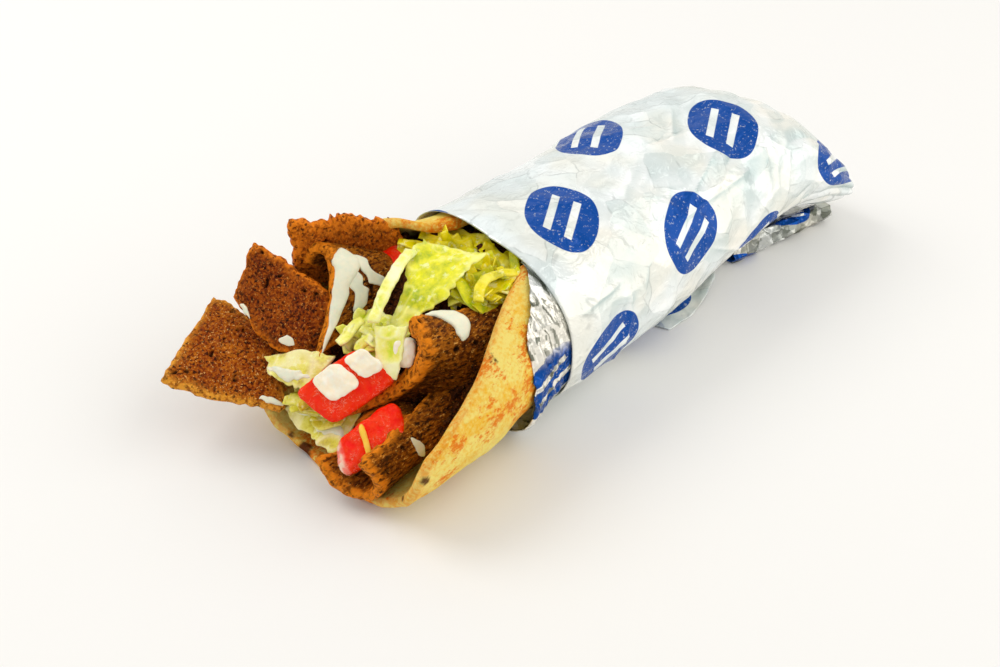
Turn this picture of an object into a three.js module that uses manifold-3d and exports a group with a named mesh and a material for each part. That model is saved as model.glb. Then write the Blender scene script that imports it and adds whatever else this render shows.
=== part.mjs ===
/**
 * Doner kebab sandwich: a pocket of flatbread filled with sliced doner meat, lettuce, tomato,
 * onion and cheese, rolled in a printed sheet of foil that is folded shut at its far end.
 *
 * Units are millimetres. +Z is up, +X runs along the roll from its open mouth to its folded end,
 * and +Y is to the left of that. The roll is laid out from the edge of the foil's mouth (x = 0)
 * and on the table (z = 0); the last lines move it so that the origin is at the bottom centre.
 */
import * as THREE from "three";
import { mergeVertices } from "three/addons/utils/BufferGeometryUtils.js";
import Module from "manifold-3d";

// ---------------------------------------------------------------- driving dimensions

/** The rolled foil: a rounded-square tube that ends in a wedge-like fold. */
const ROLL = {
  halfWidth: 35.7,
  height: 53.4,
  squareness: 2.3, // 2 is an ellipse, more is squarer
  sink: 0.4, // how much of the round underside is pressed flat on the table
  pressed: 0.35, // what is lower than this above the underside lies flat on it too
  wedgeStart: 106,
  wedgeEnd: 149.5,
  edgeHeight: 10, // height of the folded edge above the table
  endNarrowing: 0.14,
  endSkew: -0.19, // the folded edge runs further out on the -Y side
  skewStart: 90,
  leftTaper: 0.1, // the +Y side draws in over the far half
  taperStart: 80,
  taperLength: 60,
  flare: 3.6, // how far the upper left of the mouth stands out, and how soon that dies away
  flareAt: 130,
  flareSpan: 34,
  flareLength: 16,
  opening: 6, // how much further the bread stands out there, and over what length past the mouth
  openingLength: 11,
  tuck: 9, // how far the lower right side is tucked in toward the end
  tuckAt: -52,
  tuckSpan: 30,
  tuckStart: 30,
  tuckRise: 80,
  tuckEnd: 150,
  tuckFade: 28,
};

const FOIL = {
  wall: 0.8,
  mouthTop: 3.5,
  mouthSide: 0.5,
  mouthLeft: 3,
  lastStation: 0.985, // share of the roll's length where the fold is pressed shut
  crumple: 0.35,
  crumpleFrom: 23, // degrees round from straight down; below that the foil lies smooth
  crumpleFull: 57,
  crumpleEnd: 145,
  crumpleFade: 15,
};

/** The foil's inner turn, a band that shows past the mouth on the -Y side; angles in degrees. */
const INNER_TURN = {
  inset: 0.7,
  wall: 0.7,
  from: -158,
  to: -28,
  front: -13.5,
  rise: 16.5, // how far its edge draws back toward the top of the mouth
  riseFrom: 115,
  riseTo: 158,
  back: 20,
  sag: 4, // how far it hangs away from the bread, and where
  sagAt: -45,
  sagSpan: 28,
  sagLength: 12,
};

/** Loose foil under the roll: a printed corner on the table and a crumpled fold. */
const CORNER_FLAP = {
  thick: 1,
  outline: [[57, -8], [57, -20], [59.5, -27], [70, -27.5], [80, -25.5], [90, -21.5], [98, -16], [98, -8]],
};
const UNDER_FOLD = {
  from: 103,
  to: 145,
  slope: -0.167, // how far it runs toward -Y per millimetre of its length
  section: [[-6, 0], [-20.5, 0], [-22, 3.4], [-20.5, 7.4], [-17.5, 8], [-14.5, 4], [-9.5, 2.6], [-6, 1.2]],
};

/** The flatbread: an open-topped trough inside the foil, whose lip runs forward at the bottom. */
const PITA = {
  inset: 1.95,
  thick: 3.1,
  seamLeft: 154, // degrees round from straight down, where the bread ends on each side
  seamRight: -156,
  lip: -61.5,
  riseLeft: 60, // degrees where the lip starts to climb back to the mouth
  riseRight: 76,
  back: 126,
  spreadLeft: 3, // how much wider the trough opens past the mouth, on each side
  spreadRight: 4,
  spreadStart: -8,
  spreadLength: 26,
  sag: 2.3, // past the mouth the bread lies on the table
  sagStart: -4,
  sagLength: 24,
  lipWobble: 1.2,
  wobble: 0.4,
};

/** The heap of small meat scraps and shreds that the visible pieces lie on. */
const FILLING = {
  clearance: 0.35,
  front: -48,
  back: 124,
  frontTop: 14,
  frontNarrowing: 0.62, // share of its width that the heap has at its front
  narrowingLength: 36,
  mouthTop: 45,
  steepness: 1.35,
  headroom: 3, // between the heap and the roof of the bread
  leastHeight: 2,
  lump: 1.3,
  hollow: { at: [-30, -17], radius: 13, depth: 9 }, // the gap between the two curled slices
  scraps: 10,
  scrapSize: [5, 2, 1.5],
  scrapsAcross: [-16, 18],
};

const CLEARANCE = 0.4; // between neighbouring pieces
const FACET_TOLERANCE = 0.08; // facets this near to one plane are joined
const SHARPEST = 0.4; // least cosine between a corner's direction and its faces' normals
const MEAT_CELLS = [13, 5]; // points along and across a slice
const LEAF_CELLS = [12, 4];

/** Slices of meat: four control points along the near edge and four along the far edge. */
const MEAT = {
  meat_slab_left: {
    near: [[-85, 46, 24], [-78, 37, 21], [-70, 28, 17], [-63, 20, 14]],
    far: [[-56, 58, 31], [-54, 51, 30], [-52, 43, 27], [-50, 36, 24]],
    thick: 4.5, rag: 1.2,
  },
  meat_slab_middle: {
    near: [[-54, 49, 36], [-56, 38, 31], [-58, 28, 26], [-46, 20, 26]],
    far: [[-45, 50, 50], [-42, 42, 47], [-39, 33, 44], [-37, 24, 40]],
    thick: 4.5, rag: 1,
  },
  meat_curl_sauced: {
    near: [[-36, 38, 46], [-33, 36, 57], [-26, 27, 50], [-51, 17, 29.5]],
    far: [[-20, 34, 34], [-14, 30, 46], [-8, 17, 42], [-29, 18, 33]],
    thick: 4, rag: 0.8,
  },
  meat_curl_right: {
    near: [[-53, 2, 21], [-34.5, -9.5, 26], [-36.5, -19.5, 44], [-35, -6.5, 46]],
    far: [[-20, -10, 14], [-12, -31, 18], [-6, -30, 38], [0, -16, 39]],
    thick: 4.6, rag: 0.8,
  },
  meat_roll_front: {
    near: [[-68, -2, 13], [-71, -10, 2], [-59, -28, 3], [-67, -19.5, 22]],
    far: [[-34, -8, 8], [-27, -26, 6], [-22, -25, 24], [-30, -12, 22]],
    thick: 4, rag: 0.8,
  },
  meat_fold_inner: {
    near: [[-54, -3, 16.5], [-51, -5, 20.5], [-47, -8, 20.5], [-44, -11, 17.5]],
    far: [[-38, 3, 14.5], [-35, 0, 18.5], [-32, -4, 18.5], [-28, -8, 15.5]],
    thick: 4, rag: 0.6,
  },
  meat_slab_back: {
    near: [[-37, 41, 38], [-26, 34, 35], [-17, 29, 34], [-8, 24, 33]],
    far: [[-39, 39, 59], [-28, 36, 58], [-18, 32, 54], [-8, 27.5, 50]],
    thick: 4, rag: 2.5,
  },
};

/** Lettuce: wavy leaves, laid out as the slices are. */
const LETTUCE = {
  lettuce_leaf_large: {
    near: [[-4, -5, 52], [-18, -9, 52], [-27, -2, 44], [-37, -5, 37]],
    far: [[-9, 14, 52], [-20, 12, 50], [-27, 3, 43], [-40, 1, 37]],
    thick: 1.4, rag: 0.9, wave: 0.8,
  },
  lettuce_leaf_lower: {
    near: [[-33, -4, 43], [-37, -6, 39], [-40, -8, 35], [-43, -8, 31]],
    far: [[-38, 4, 41], [-41, 2, 38], [-43, 0, 35], [-46, -3, 31]],
    thick: 1.4, rag: 0.6, wave: 0.6,
  },
  lettuce_leaf_back: {
    near: [[-12, 18, 46], [-9, 8, 46], [-10, -6, 44], [-14, -15, 42]],
    far: [[8, 24, 45], [9, 12, 47], [9, -2, 48], [4, -15, 45]],
    thick: 1.2, rag: 1, wave: 1,
  },
  lettuce_leaf_small: {
    near: [[-19, -6, 43], [-15, -9, 45], [-12, -12, 45], [-9, -15, 43]],
    far: [[-14, 0, 44], [-10, -4, 47], [-7, -8, 47], [-4, -12, 45]],
    thick: 1.2, rag: 0.8, wave: 0.7,
  },
  lettuce_leaf_pale: {
    near: [[-44, 20, 30], [-41, 14, 33], [-40, 8, 33], [-40, 3, 31]],
    far: [[-32, 22, 34], [-29, 15, 38], [-29, 9, 38], [-31, 4, 36]],
    thick: 1.3, rag: 0.9, wave: 0.9,
  },
  lettuce_leaf_left: {
    near: [[-61, 29, 22], [-61, 24, 21], [-60, 18, 21], [-59, 14, 22]],
    far: [[-58, 32, 25], [-54, 25, 29], [-50, 18, 31], [-48, 12, 32]],
    thick: 1.6, rag: 0.6, wave: 0.4,
  },
  lettuce_leaf_front: {
    near: [[-60, 22, 12], [-62, 14, 10], [-63, 6, 9], [-62, -3, 11]],
    far: [[-55, 22, 18], [-52, 14, 20], [-50, 6, 20], [-50, 0, 19]],
    thick: 1.6, rag: 0.6, wave: 0.5,
  },
  lettuce_stalk: {
    near: [[-15, 12, 51], [-24, 9.5, 50.5], [-31, 6.5, 48], [-38.5, 3.5, 43]],
    far: [[-16, 15, 50.5], [-25, 12.5, 50], [-32, 9.5, 47.5], [-39.5, 6, 42.5]],
    thick: 2.2, rag: 0.2, wave: 0.2,
  },
  lettuce_rib: {
    near: [[-16, -13, 47], [-11, -8, 50], [-4, -8, 50], [3, -14, 48]],
    far: [[-14.5, -15, 47], [-9.5, -10.5, 50], [-4.5, -10.5, 50], [1.5, -16, 47.5]],
    thick: 2, rag: 0.1, wave: 0,
  },
};

/** Chunks: half axes u and v and a thickness along u x v; a softness of 1 is an egg, less is boxier. */
const CHUNKS = {
  tomato_wedge_upper: {
    at: [-52, 3, 27.5], u: [9, -4.4, 5.8], v: [1.6, -6.6, -3.6], thick: 6, softness: 0.45,
  },
  tomato_wedge_lower: {
    at: [-56.5, -11.5, 19], u: [9.5, -3.4, 5], v: [-2, -4.4, -3.2], thick: 5.5, softness: 0.5,
  },
  tomato_piece_small: {
    at: [-12, 24, 42], u: [5, -1, 1], v: [1, 5, 1], thick: 4, softness: 0.8,
  },
  onion_piece_inner: {
    at: [-37.3, -6, 36.3], u: [1.4, 1, 4.2], v: [2, -2.6, 0.3], thick: 3, softness: 0.6,
  },
};

/** Thin cuts that lie on a tomato wedge: place along the wedge's u and v, and the cut's size. */
const CUTS = {
  onion_piece_left: { on: "tomato_wedge_upper", u: -0.05, v: -0.35, size: [5.2, 5], thick: 1.8 },
  onion_piece_right: { on: "tomato_wedge_upper", u: 0.78, v: -0.3, size: [3.4, 4.6], thick: 1.8 },
  cheese_shred: { on: "tomato_wedge_lower", u: -0.1, v: 0.15, size: [1, 5.5], thick: 1.6 },
};

const MATERIALS = {
  foil: { color: 0xd9dcdb, roughness: 0.38, metalness: 0.65 },
  bread: { color: 0xe9cb8a, roughness: 0.85, metalness: 0 },
  meat: { color: 0x8a5a34, roughness: 0.7, metalness: 0 },
  tomato: { color: 0xd8301f, roughness: 0.3, metalness: 0 },
  onion: { color: 0xf3ecd6, roughness: 0.4, metalness: 0 },
  cheese: { color: 0xf3c64b, roughness: 0.5, metalness: 0 },
  lettuce: { color: 0xb7cb4e, roughness: 0.45, metalness: 0 },
  filling: { color: 0x7a4f30, roughness: 0.8, metalness: 0 },
};

// ---------------------------------------------------------------- small maths

const clamp01 = (x) => Math.min(1, Math.max(0, x));
const smooth = (x) => clamp01(x) ** 2 * (3 - 2 * clamp01(x));
const mix = (a, b, t) => a + (b - a) * t;
const bell = (x, middle, span) => Math.exp(-(((x - middle) / span) ** 2));
const degrees = THREE.MathUtils.degToRad;

/** A repeatable stream of numbers from 0 to 1. */
function seededDraws(seed) {
  let state = seed * 2654435761 >>> 0;
  return () => {
    state = (state * 1664525 + 1013904223) >>> 0;
    return state / 4294967296;
  };
}

/** A smooth uneven surface over (u, v), about -1 to 1: four sine waves that cross each other. */
function ripples(seed, pace = 9) {
  const draw = seededDraws(seed);
  const [count, usualPeak] = [4, 2.6];
  const waves = Array.from({ length: count }, (_, i) => ({
    ku: (draw() - 0.5) * 2 * pace * (1 + 0.4 * i),
    kv: (draw() - 0.5) * 2 * pace * (1 + 0.4 * i),
    phase: draw() * Math.PI * 2,
  }));
  return (u, v) => waves.reduce((sum, w) => sum + Math.sin(w.ku * u + w.kv * v + w.phase), 0) / usualPeak;
}

// ---------------------------------------------------------------- solids

const wasm = await Module();
wasm.setup();

/** Turns a closed three.js geometry into a solid that can be joined and cut. */
function solidOf(geometry) {
  const bare = geometry.index ? geometry : geometry.clone();
  bare.deleteAttribute("normal");
  bare.deleteAttribute("uv");
  const merged = mergeVertices(bare, 1e-4);
  return new wasm.Manifold(new wasm.Mesh({
    numProp: 3,
    vertProperties: new Float32Array(merged.attributes.position.array),
    triVerts: new Uint32Array(merged.index.array),
  }));
}

/** The vertices and triangles of a closed surface, gathered ring by ring. */
class ClosedSurface {
  constructor() {
    this.points = [];
    this.triangles = [];
  }

  vertex(point) {
    return this.points.push(point) - 1;
  }

  /** Adds rows x columns of vertices from place(row, column) and gives their numbers. */
  grid(rows, columns, place) {
    return Array.from({ length: rows }, (_, r) => (
      Array.from({ length: columns }, (_, c) => this.vertex(place(r, c)))));
  }

  /** Joins two equally long rows; a closed row also joins its last vertex to its first. */
  strip(rowA, rowB, closed = false) {
    const count = closed ? rowA.length : rowA.length - 1;
    for (let i = 0; i < count; i += 1) {
      const next = (i + 1) % rowA.length;
      this.triangles.push([rowA[i], rowA[next], rowB[next]], [rowA[i], rowB[next], rowB[i]]);
    }
  }

  /** Closes a ring with a fan to one vertex at its middle. */
  cap(ring, middle) {
    ring.forEach((vertex, i) => this.triangles.push([vertex, ring[(i + 1) % ring.length], middle]));
  }

  /** The mean of a ring's points. */
  middleOf(ring) {
    return [0, 1, 2].map((axis) => ring.reduce((sum, v) => sum + this.points[v][axis], 0) / ring.length);
  }

  /** The finished solid; the surface is turned inside out when it was wound the other way. */
  solid() {
    const [p, t] = [this.points, this.triangles];
    const corner = t.map(([a, b, c]) => new THREE.Vector3(...p[a]).dot(
      new THREE.Vector3(...p[b]).cross(new THREE.Vector3(...p[c]))));
    const inward = corner.reduce((sum, volume) => sum + volume, 0) < 0;
    const geometry = new THREE.BufferGeometry();
    geometry.setAttribute("position", new THREE.Float32BufferAttribute(p.flat(), 3));
    geometry.setIndex(t.flatMap(([a, b, c]) => (inward ? [a, c, b] : [a, b, c])));
    return solidOf(geometry);
  }
}

/** A thin plate between two surfaces given over (u, v), both split into triangles alike. */
function plateSolid(face, back, rows, columns) {
  const surface = new ClosedSurface();
  const at = (side) => (r, c) => side(c / (columns - 1), r / (rows - 1));
  const front = surface.grid(rows, columns, at(face));
  const rear = surface.grid(rows, columns, at(back));
  for (let r = 0; r + 1 < rows; r += 1) {
    surface.strip(front[r], front[r + 1]);
    surface.strip([...rear[r]].reverse(), [...rear[r + 1]].reverse());
  }
  const column = (grid, c) => grid.map((row) => row[c]);
  surface.strip(rear[0], front[0]);
  surface.strip(front[rows - 1], rear[rows - 1]);
  surface.strip(column(front, 0), column(rear, 0));
  surface.strip(column(rear, columns - 1), column(front, columns - 1));
  return surface.solid();
}

/** A tube wall between two rings-by-stations surfaces, open at the first station, closed at the last. */
function cupSolid(outer, inner, around, stations) {
  const surface = new ClosedSurface();
  const at = (side) => (r, c) => side(c / around, r / (stations - 1));
  const outside = surface.grid(stations, around, at(outer));
  const inside = surface.grid(stations, around, at(inner));
  for (let r = 0; r + 1 < stations; r += 1) {
    surface.strip(outside[r], outside[r + 1], true);
    surface.strip(inside[r + 1], inside[r], true);
  }
  surface.strip(inside[0], outside[0], true);
  const [lastOut, lastIn] = [outside[stations - 1], inside[stations - 1]];
  surface.cap(lastOut, surface.vertex(surface.middleOf(lastOut)));
  surface.cap([...lastIn].reverse(), surface.vertex(surface.middleOf(lastIn)));
  return surface.solid();
}

/** A solid bar whose rings run from the first station to the last, closed at both ends. */
function barSolid(ringAt, around, stations) {
  const surface = new ClosedSurface();
  const rings = surface.grid(stations, around, (r, c) => ringAt(c / around, r / (stations - 1)));
  for (let r = 0; r + 1 < stations; r += 1) surface.strip(rings[r], rings[r + 1], true);
  const [first, last] = [rings[0], rings[stations - 1]];
  surface.cap([...first].reverse(), surface.vertex(surface.middleOf(first)));
  surface.cap(last, surface.vertex(surface.middleOf(last)));
  return surface.solid();
}

// ---------------------------------------------------------------- the roll

/** Half width, top and bottom of the roll's section at x, drawn in by an inset. */
function rollSection(x, inset) {
  const { halfWidth, height, wedgeStart, wedgeEnd, edgeHeight, endNarrowing } = ROLL;
  const end = clamp01((x - wedgeStart) / (wedgeEnd - wedgeStart));
  return {
    half: halfWidth * (1 - endNarrowing * end ** 4) - inset,
    top: edgeHeight + (height - edgeHeight) * (1 - end ** 2.4) ** 0.8 - inset,
    bottom: edgeHeight * end ** 6 + inset,
  };
}

/**
 * A point of the roll at x and at an angle round it: 0 is straight down, + is toward +Y. The
 * section can be widened, and the point pushed outward, but it stays above the table.
 */
function onRoll(x, angle, inset, widen = 0, push = 0) {
  const { half, top, bottom } = rollSection(x, inset);
  const [s, c] = [Math.sin(angle), Math.cos(angle)];
  const n = ROLL.squareness;
  const reach = (Math.abs(s) ** n + Math.abs(c) ** n) ** (-1 / n);
  const flared = flareAt(x) * bell(angle, degrees(ROLL.flareAt), degrees(ROLL.flareSpan));
  const tucked = tuckAt(x) * bell(angle, degrees(ROLL.tuckAt), degrees(ROLL.tuckSpan));
  const out = flared - tucked + push;
  const taper = s > 0 ? 1 - ROLL.leftTaper * smooth((x - ROLL.taperStart) / ROLL.taperLength) : 1;
  const y = (half + widen) * taper * reach * s + out * s;
  const z = (top + bottom) / 2 - ((top - bottom) / 2) * reach * c - out * c - ROLL.sink;
  const skew = ROLL.endSkew * y * smooth((x - ROLL.skewStart) / (ROLL.wedgeEnd - ROLL.skewStart));
  return [x + skew, y, z < inset + ROLL.pressed ? inset : z];
}

/** How far the roll's lower right side is drawn in at x. */
function tuckAt(x) {
  const grown = smooth((x - ROLL.tuckStart) / ROLL.tuckRise);
  return ROLL.tuck * grown * smooth((ROLL.tuckEnd - x) / ROLL.tuckFade);
}

/** How far the roll's upper left side stands out at x, inside the foil and past its mouth. */
function flareAt(x) {
  if (x > 0) return ROLL.flare * Math.exp(-x / ROLL.flareLength);
  return ROLL.flare + ROLL.opening * smooth(-x / ROLL.openingLength);
}

/** The foil tube with its flared mouth, inner turn, loose corner and crumpled fold. */
function foilWrap() {
  const crumple = ripples(11, 30);
  const { mouthSide, mouthTop, mouthLeft, crumpleFrom, crumpleFull, crumpleEnd, crumpleFade } = FOIL;
  const wallPoint = (inset) => (u, v) => {
    const angle = (u * 2 - 1) * Math.PI;
    const raisedMouth = mix(mouthSide, mouthTop, (1 - Math.cos(angle)) / 2);
    const mouth = raisedMouth + mouthLeft * Math.max(0, Math.sin(angle));
    const x = mix(mouth, ROLL.wedgeEnd * FOIL.lastStation, v ** 0.8);
    const raised = inset === 0 ? FOIL.crumple * (0.5 + 0.5 * crumple(u, v)) : 0;
    const fromBelow = THREE.MathUtils.radToDeg(Math.abs(angle));
    const free = smooth((fromBelow - crumpleFrom) / (crumpleFull - crumpleFrom));
    return onRoll(x, angle, inset, 0, raised * free * smooth((crumpleEnd - x) / crumpleFade));
  };
  return cupSolid(wallPoint(0), wallPoint(FOIL.wall), 36, 15)
    .add(innerTurn())
    .add(cornerFlap())
    .add(underFold());
}

function innerTurn() {
  const { inset, wall, from, to, front, back } = INNER_TURN;
  const { rise, riseFrom, riseTo, sag, sagAt, sagSpan, sagLength } = INNER_TURN;
  const side = (depth) => (u, v) => {
    const turn = mix(from, to, u);
    const edge = front + rise * smooth((Math.abs(turn) - riseFrom) / (riseTo - riseFrom));
    const x = mix(edge, back, v);
    const loose = sag * bell(turn, sagAt, sagSpan) * smooth(-x / sagLength);
    return onRoll(x, degrees(turn), depth, 0, loose);
  };
  return plateSolid(side(inset), side(inset + wall), 4, 16);
}

function cornerFlap() {
  const outline = new THREE.Shape(CORNER_FLAP.outline.map(([x, y]) => new THREE.Vector2(x, y)));
  return solidOf(new THREE.ExtrudeGeometry(outline, { depth: CORNER_FLAP.thick, bevelEnabled: false }));
}

function underFold() {
  const section = new THREE.Shape(UNDER_FOLD.section.map(([y, z]) => new THREE.Vector2(y, z)));
  const depth = UNDER_FOLD.to - UNDER_FOLD.from;
  const bar = new THREE.ExtrudeGeometry(section, { depth, bevelEnabled: false });
  bar.applyMatrix4(new THREE.Matrix4().makeBasis(
    new THREE.Vector3(0, 1, 0), new THREE.Vector3(0, 0, 1), new THREE.Vector3(1, UNDER_FOLD.slope, 0)));
  return solidOf(bar.translate(UNDER_FOLD.from, 0, 0));
}

/** Where the bread's lip is at an angle: far forward at the bottom, back at the mouth on top. */
function pitaLip(turn) {
  const start = turn > 0 ? PITA.riseLeft : PITA.riseRight;
  const finish = turn > 0 ? PITA.seamLeft : -PITA.seamRight;
  const climb = clamp01((Math.abs(turn) - start) / (finish - start));
  return PITA.lip + (FOIL.mouthTop - PITA.lip) * climb ** 1.5;
}

function pitaBread() {
  const wobble = ripples(5, 7);
  const side = (depth) => (u, v) => {
    const turn = mix(PITA.seamRight, PITA.seamLeft, u);
    const lip = pitaLip(turn) + PITA.lipWobble * wobble(u, 0);
    const x = mix(lip, PITA.back, v ** 1.25);
    const spread = turn > 0 ? PITA.spreadLeft : PITA.spreadRight;
    const loose = smooth((PITA.sagStart - x) / PITA.sagLength);
    const opened = spread * smooth((PITA.spreadStart - x) / PITA.spreadLength);
    const widen = opened + PITA.wobble * wobble(u, v * 3) * loose;
    const [px, y, z] = onRoll(x, degrees(turn), depth, widen);
    const hung = z - PITA.sag * loose * Math.max(0, Math.cos(degrees(turn)));
    return [px, y, Math.max(depth - PITA.inset, hung)];
  };
  return plateSolid(side(PITA.inset), side(PITA.inset + PITA.thick), 14, 34);
}

/** Height of the heap's upper surface: full inside the foil, falling away toward the lip. */
function heapTop(x) {
  const { front, frontTop, mouthTop, steepness } = FILLING;
  return mouthTop - (mouthTop - frontTop) * clamp01(x / front) ** steepness;
}

/** How much of the hollow's depth there is above a place. */
function hollowShare(x, y) {
  const { at, radius } = FILLING.hollow;
  return bell(Math.hypot(x - at[0], y - at[1]), 0, radius);
}

function fillingHeap() {
  const inset = PITA.inset + PITA.thick + FILLING.clearance;
  const lumps = ripples(21, 22);
  const ring = (u, v) => {
    const x = mix(FILLING.front, FILLING.back, v);
    const low = rollSection(x, inset);
    const middle = (low.top + low.bottom) / 2 - ROLL.sink;
    const ceiling = Math.min(heapTop(x), low.top - FILLING.headroom) + FILLING.lump * lumps(u, v);
    const [, y, z] = onRoll(x, (u * 2 - 1) * Math.PI, inset);
    const squash = clamp01((ceiling - middle) / (low.top - middle));
    const rounded = z <= middle ? z : middle + (z - middle) * squash;
    const narrowing = mix(1, FILLING.frontNarrowing, smooth(-x / FILLING.narrowingLength));
    const lowered = ceiling - FILLING.hollow.depth * hollowShare(x, y * narrowing);
    return [x, y * narrowing, Math.min(rounded, Math.max(lowered, inset + FILLING.leastHeight + u))];
  };
  let heap = barSolid(ring, 22, 12);
  const draw = seededDraws(8);
  for (let i = 0; i < FILLING.scraps; i += 1) {
    const x = mix(FILLING.front + 6, 0, draw());
    const [length, width, thick] = FILLING.scrapSize.map((size) => size * mix(0.8, 1.3, draw()));
    const across = mix(...FILLING.scrapsAcross, draw());
    const heading = draw() * Math.PI;
    heap = heap.add(chunkSolid({
      at: [x, across, heapTop(x)],
      u: [length * Math.cos(heading), length * Math.sin(heading), 1],
      v: [-width * Math.sin(heading), width * Math.cos(heading), 0],
      thick: thick * 2,
      softness: 1,
      seed: i,
      around: 6,
      stations: 5,
    }));
  }
  return heap;
}

// ---------------------------------------------------------------- slices, leaves and chunks

const bezier = (points) => new THREE.CubicBezierCurve3(...points.map((p) => new THREE.Vector3(...p)));

/** A point of a curve, which runs straight on past its ends. */
function pointOn(curve, along) {
  const inside = clamp01(along);
  const beyond = (along - inside) * curve.getLength();
  return curve.getPoint(inside).addScaledVector(curve.getTangent(inside), beyond);
}

/** A slice or leaf: the sheet between two edge curves, with ragged edges and waves. */
function sheetSolid({ near, far, thick, rag, wave = 0, seed, cells }) {
  const [nearEdge, farEdge] = [bezier(near), bezier(far)];
  const depth = nearEdge.getPoint(0.5).distanceTo(farEdge.getPoint(0.5));
  const length = (nearEdge.getLength() + farEdge.getLength()) / 2;
  const [edges, surface] = [ripples(seed, 14), ripples(seed + 50, 7)];
  const flat = (u, v) => {
    const across = mix((-rag * edges(u, 0)) / depth, 1 + (rag * edges(u, 3)) / depth, v);
    const along = mix((-rag * edges(4, v)) / length, 1 + (rag * edges(7, v)) / length, u);
    const [a, b] = [nearEdge, farEdge].map((edge) => pointOn(edge, along));
    return a.lerp(b, across);
  };
  const step = 0.01;
  const normalAt = (u, v) => {
    const du = flat(u + step, v).sub(flat(u - step, v));
    const dv = flat(u, v + step).sub(flat(u, v - step));
    return du.cross(dv).normalize();
  };
  const side = (sign) => (u, v) => {
    const lift = sign * (thick / 2) + wave * surface(u, v);
    return flat(u, v).addScaledVector(normalAt(u, v), lift).toArray();
  };
  return plateSolid(side(1), side(-1), cells[1], cells[0]);
}

/** A chunk with softened corners, between an egg and a box. */
function chunkSolid({ at, u, v, thick, softness, seed, around = 12, stations = 8 }) {
  const [axisU, axisV] = [new THREE.Vector3(...u), new THREE.Vector3(...v)];
  const axisW = axisU.clone().cross(axisV).setLength(thick / 2);
  const axes = [axisU, axisV, axisW];
  const bumps = ripples(seed, 2.4);
  const soften = (value) => Math.sign(value) * Math.abs(value) ** softness;
  const ring = (turn, station) => {
    const polar = mix(0.03, 0.97, station) * Math.PI;
    const spin = turn * Math.PI * 2;
    const bump = 1 + 0.05 * bumps(turn * 6, station * 3) * Math.sin(polar);
    const rim = soften(Math.sin(polar));
    const weights = [-soften(Math.cos(polar)), rim * soften(Math.cos(spin)), rim * soften(Math.sin(spin))];
    const point = new THREE.Vector3(...at);
    weights.forEach((weight, i) => point.addScaledVector(axes[i], weight * bump));
    return point.toArray();
  };
  return barSolid(ring, around, stations);
}

/** A thin cut lying on a wedge: the wedge's own axes give its place and its lean. */
function cutOn({ on, u, v, size, thick }) {
  const wedge = CHUNKS[on];
  const [axisU, axisV] = [new THREE.Vector3(...wedge.u), new THREE.Vector3(...wedge.v)];
  const up = axisU.clone().cross(axisV).normalize();
  if (up.z < 0) up.negate();
  const at = new THREE.Vector3(...wedge.at)
    .addScaledVector(axisU, u)
    .addScaledVector(axisV, v)
    .addScaledVector(up, (wedge.thick + thick) / 2 - 0.3);
  return {
    at: at.toArray(),
    u: axisU.setLength(size[0]).toArray(),
    v: axisV.setLength(size[1]).toArray(),
    thick,
    softness: 0.5,
  };
}

// ---------------------------------------------------------------- assembly

/**
 * A solid grown outward by an even distance: each corner moves along the mean of its faces'
 * normals, and further where the faces meet at a sharper angle.
 */
function enlarged(solid, distance) {
  const { vertProperties, triVerts } = solid.getMesh();
  const corner = (i) => new THREE.Vector3().fromArray(vertProperties, 3 * triVerts[i]);
  const faces = Array.from({ length: vertProperties.length / 3 }, () => []);
  for (let i = 0; i < triVerts.length; i += 3) {
    const [a, b, c] = [corner(i), corner(i + 1), corner(i + 2)];
    const normal = b.clone().sub(a).cross(c.clone().sub(a)).normalize();
    [[a, b, c], [b, c, a], [c, a, b]].forEach(([at, next, last], k) => {
      const angle = next.clone().sub(at).angleTo(last.clone().sub(at));
      faces[triVerts[i + k]].push({ normal, angle });
    });
  }
  const moved = faces.flatMap((around, vertex) => {
    const mean = new THREE.Vector3();
    around.forEach((f) => mean.addScaledVector(f.normal, f.angle));
    mean.normalize();
    const slant = Math.min(...around.map((f) => mean.dot(f.normal)));
    return new THREE.Vector3().fromArray(vertProperties, 3 * vertex)
      .addScaledVector(mean, distance / Math.max(slant, SHARPEST)).toArray();
  });
  return new wasm.Manifold(new wasm.Mesh({ numProp: 3, vertProperties: new Float32Array(moved), triVerts }));
}

/** Keeps the pieces apart: each new piece is cut by the enlarged shapes of those before it. */
class Platter {
  constructor() {
    this.taken = [];
    this.pieces = [];
  }

  /** Adds a piece; of what the others leave of it, the largest part is kept. */
  lay(name, material, solid) {
    const box = solid.boundingBox();
    const nearby = this.taken.filter((other) => [0, 1, 2].every(
      (i) => other.box.min[i] < box.max[i] && other.box.max[i] > box.min[i]));
    const cut = nearby.reduce((left, other) => left.subtract(other.solid), solid);
    const piece = cut.simplify(FACET_TOLERANCE).decompose().sort((a, b) => b.volume() - a.volume())[0];
    const room = enlarged(piece, CLEARANCE);
    this.taken.push({ solid: room, box: room.boundingBox() });
    this.pieces.push({ name, material, solid: piece });
  }
}

/** A mesh for a solid, flat-shaded as its facets are. */
function meshOf({ name, material, solid }) {
  const { vertProperties, triVerts } = solid.getMesh();
  const geometry = new THREE.BufferGeometry();
  geometry.setAttribute("position", new THREE.BufferAttribute(new Float32Array(vertProperties), 3));
  geometry.setIndex(new THREE.BufferAttribute(new Uint32Array(triVerts), 1));
  const finish = new THREE.MeshStandardMaterial({ name: material, ...MATERIALS[material] });
  const mesh = new THREE.Mesh(geometry, finish);
  mesh.name = name;
  return mesh;
}

/** A chunk's or cut's material: the first word of its name. */
const materialOf = (name) => name.split("_")[0];

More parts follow.
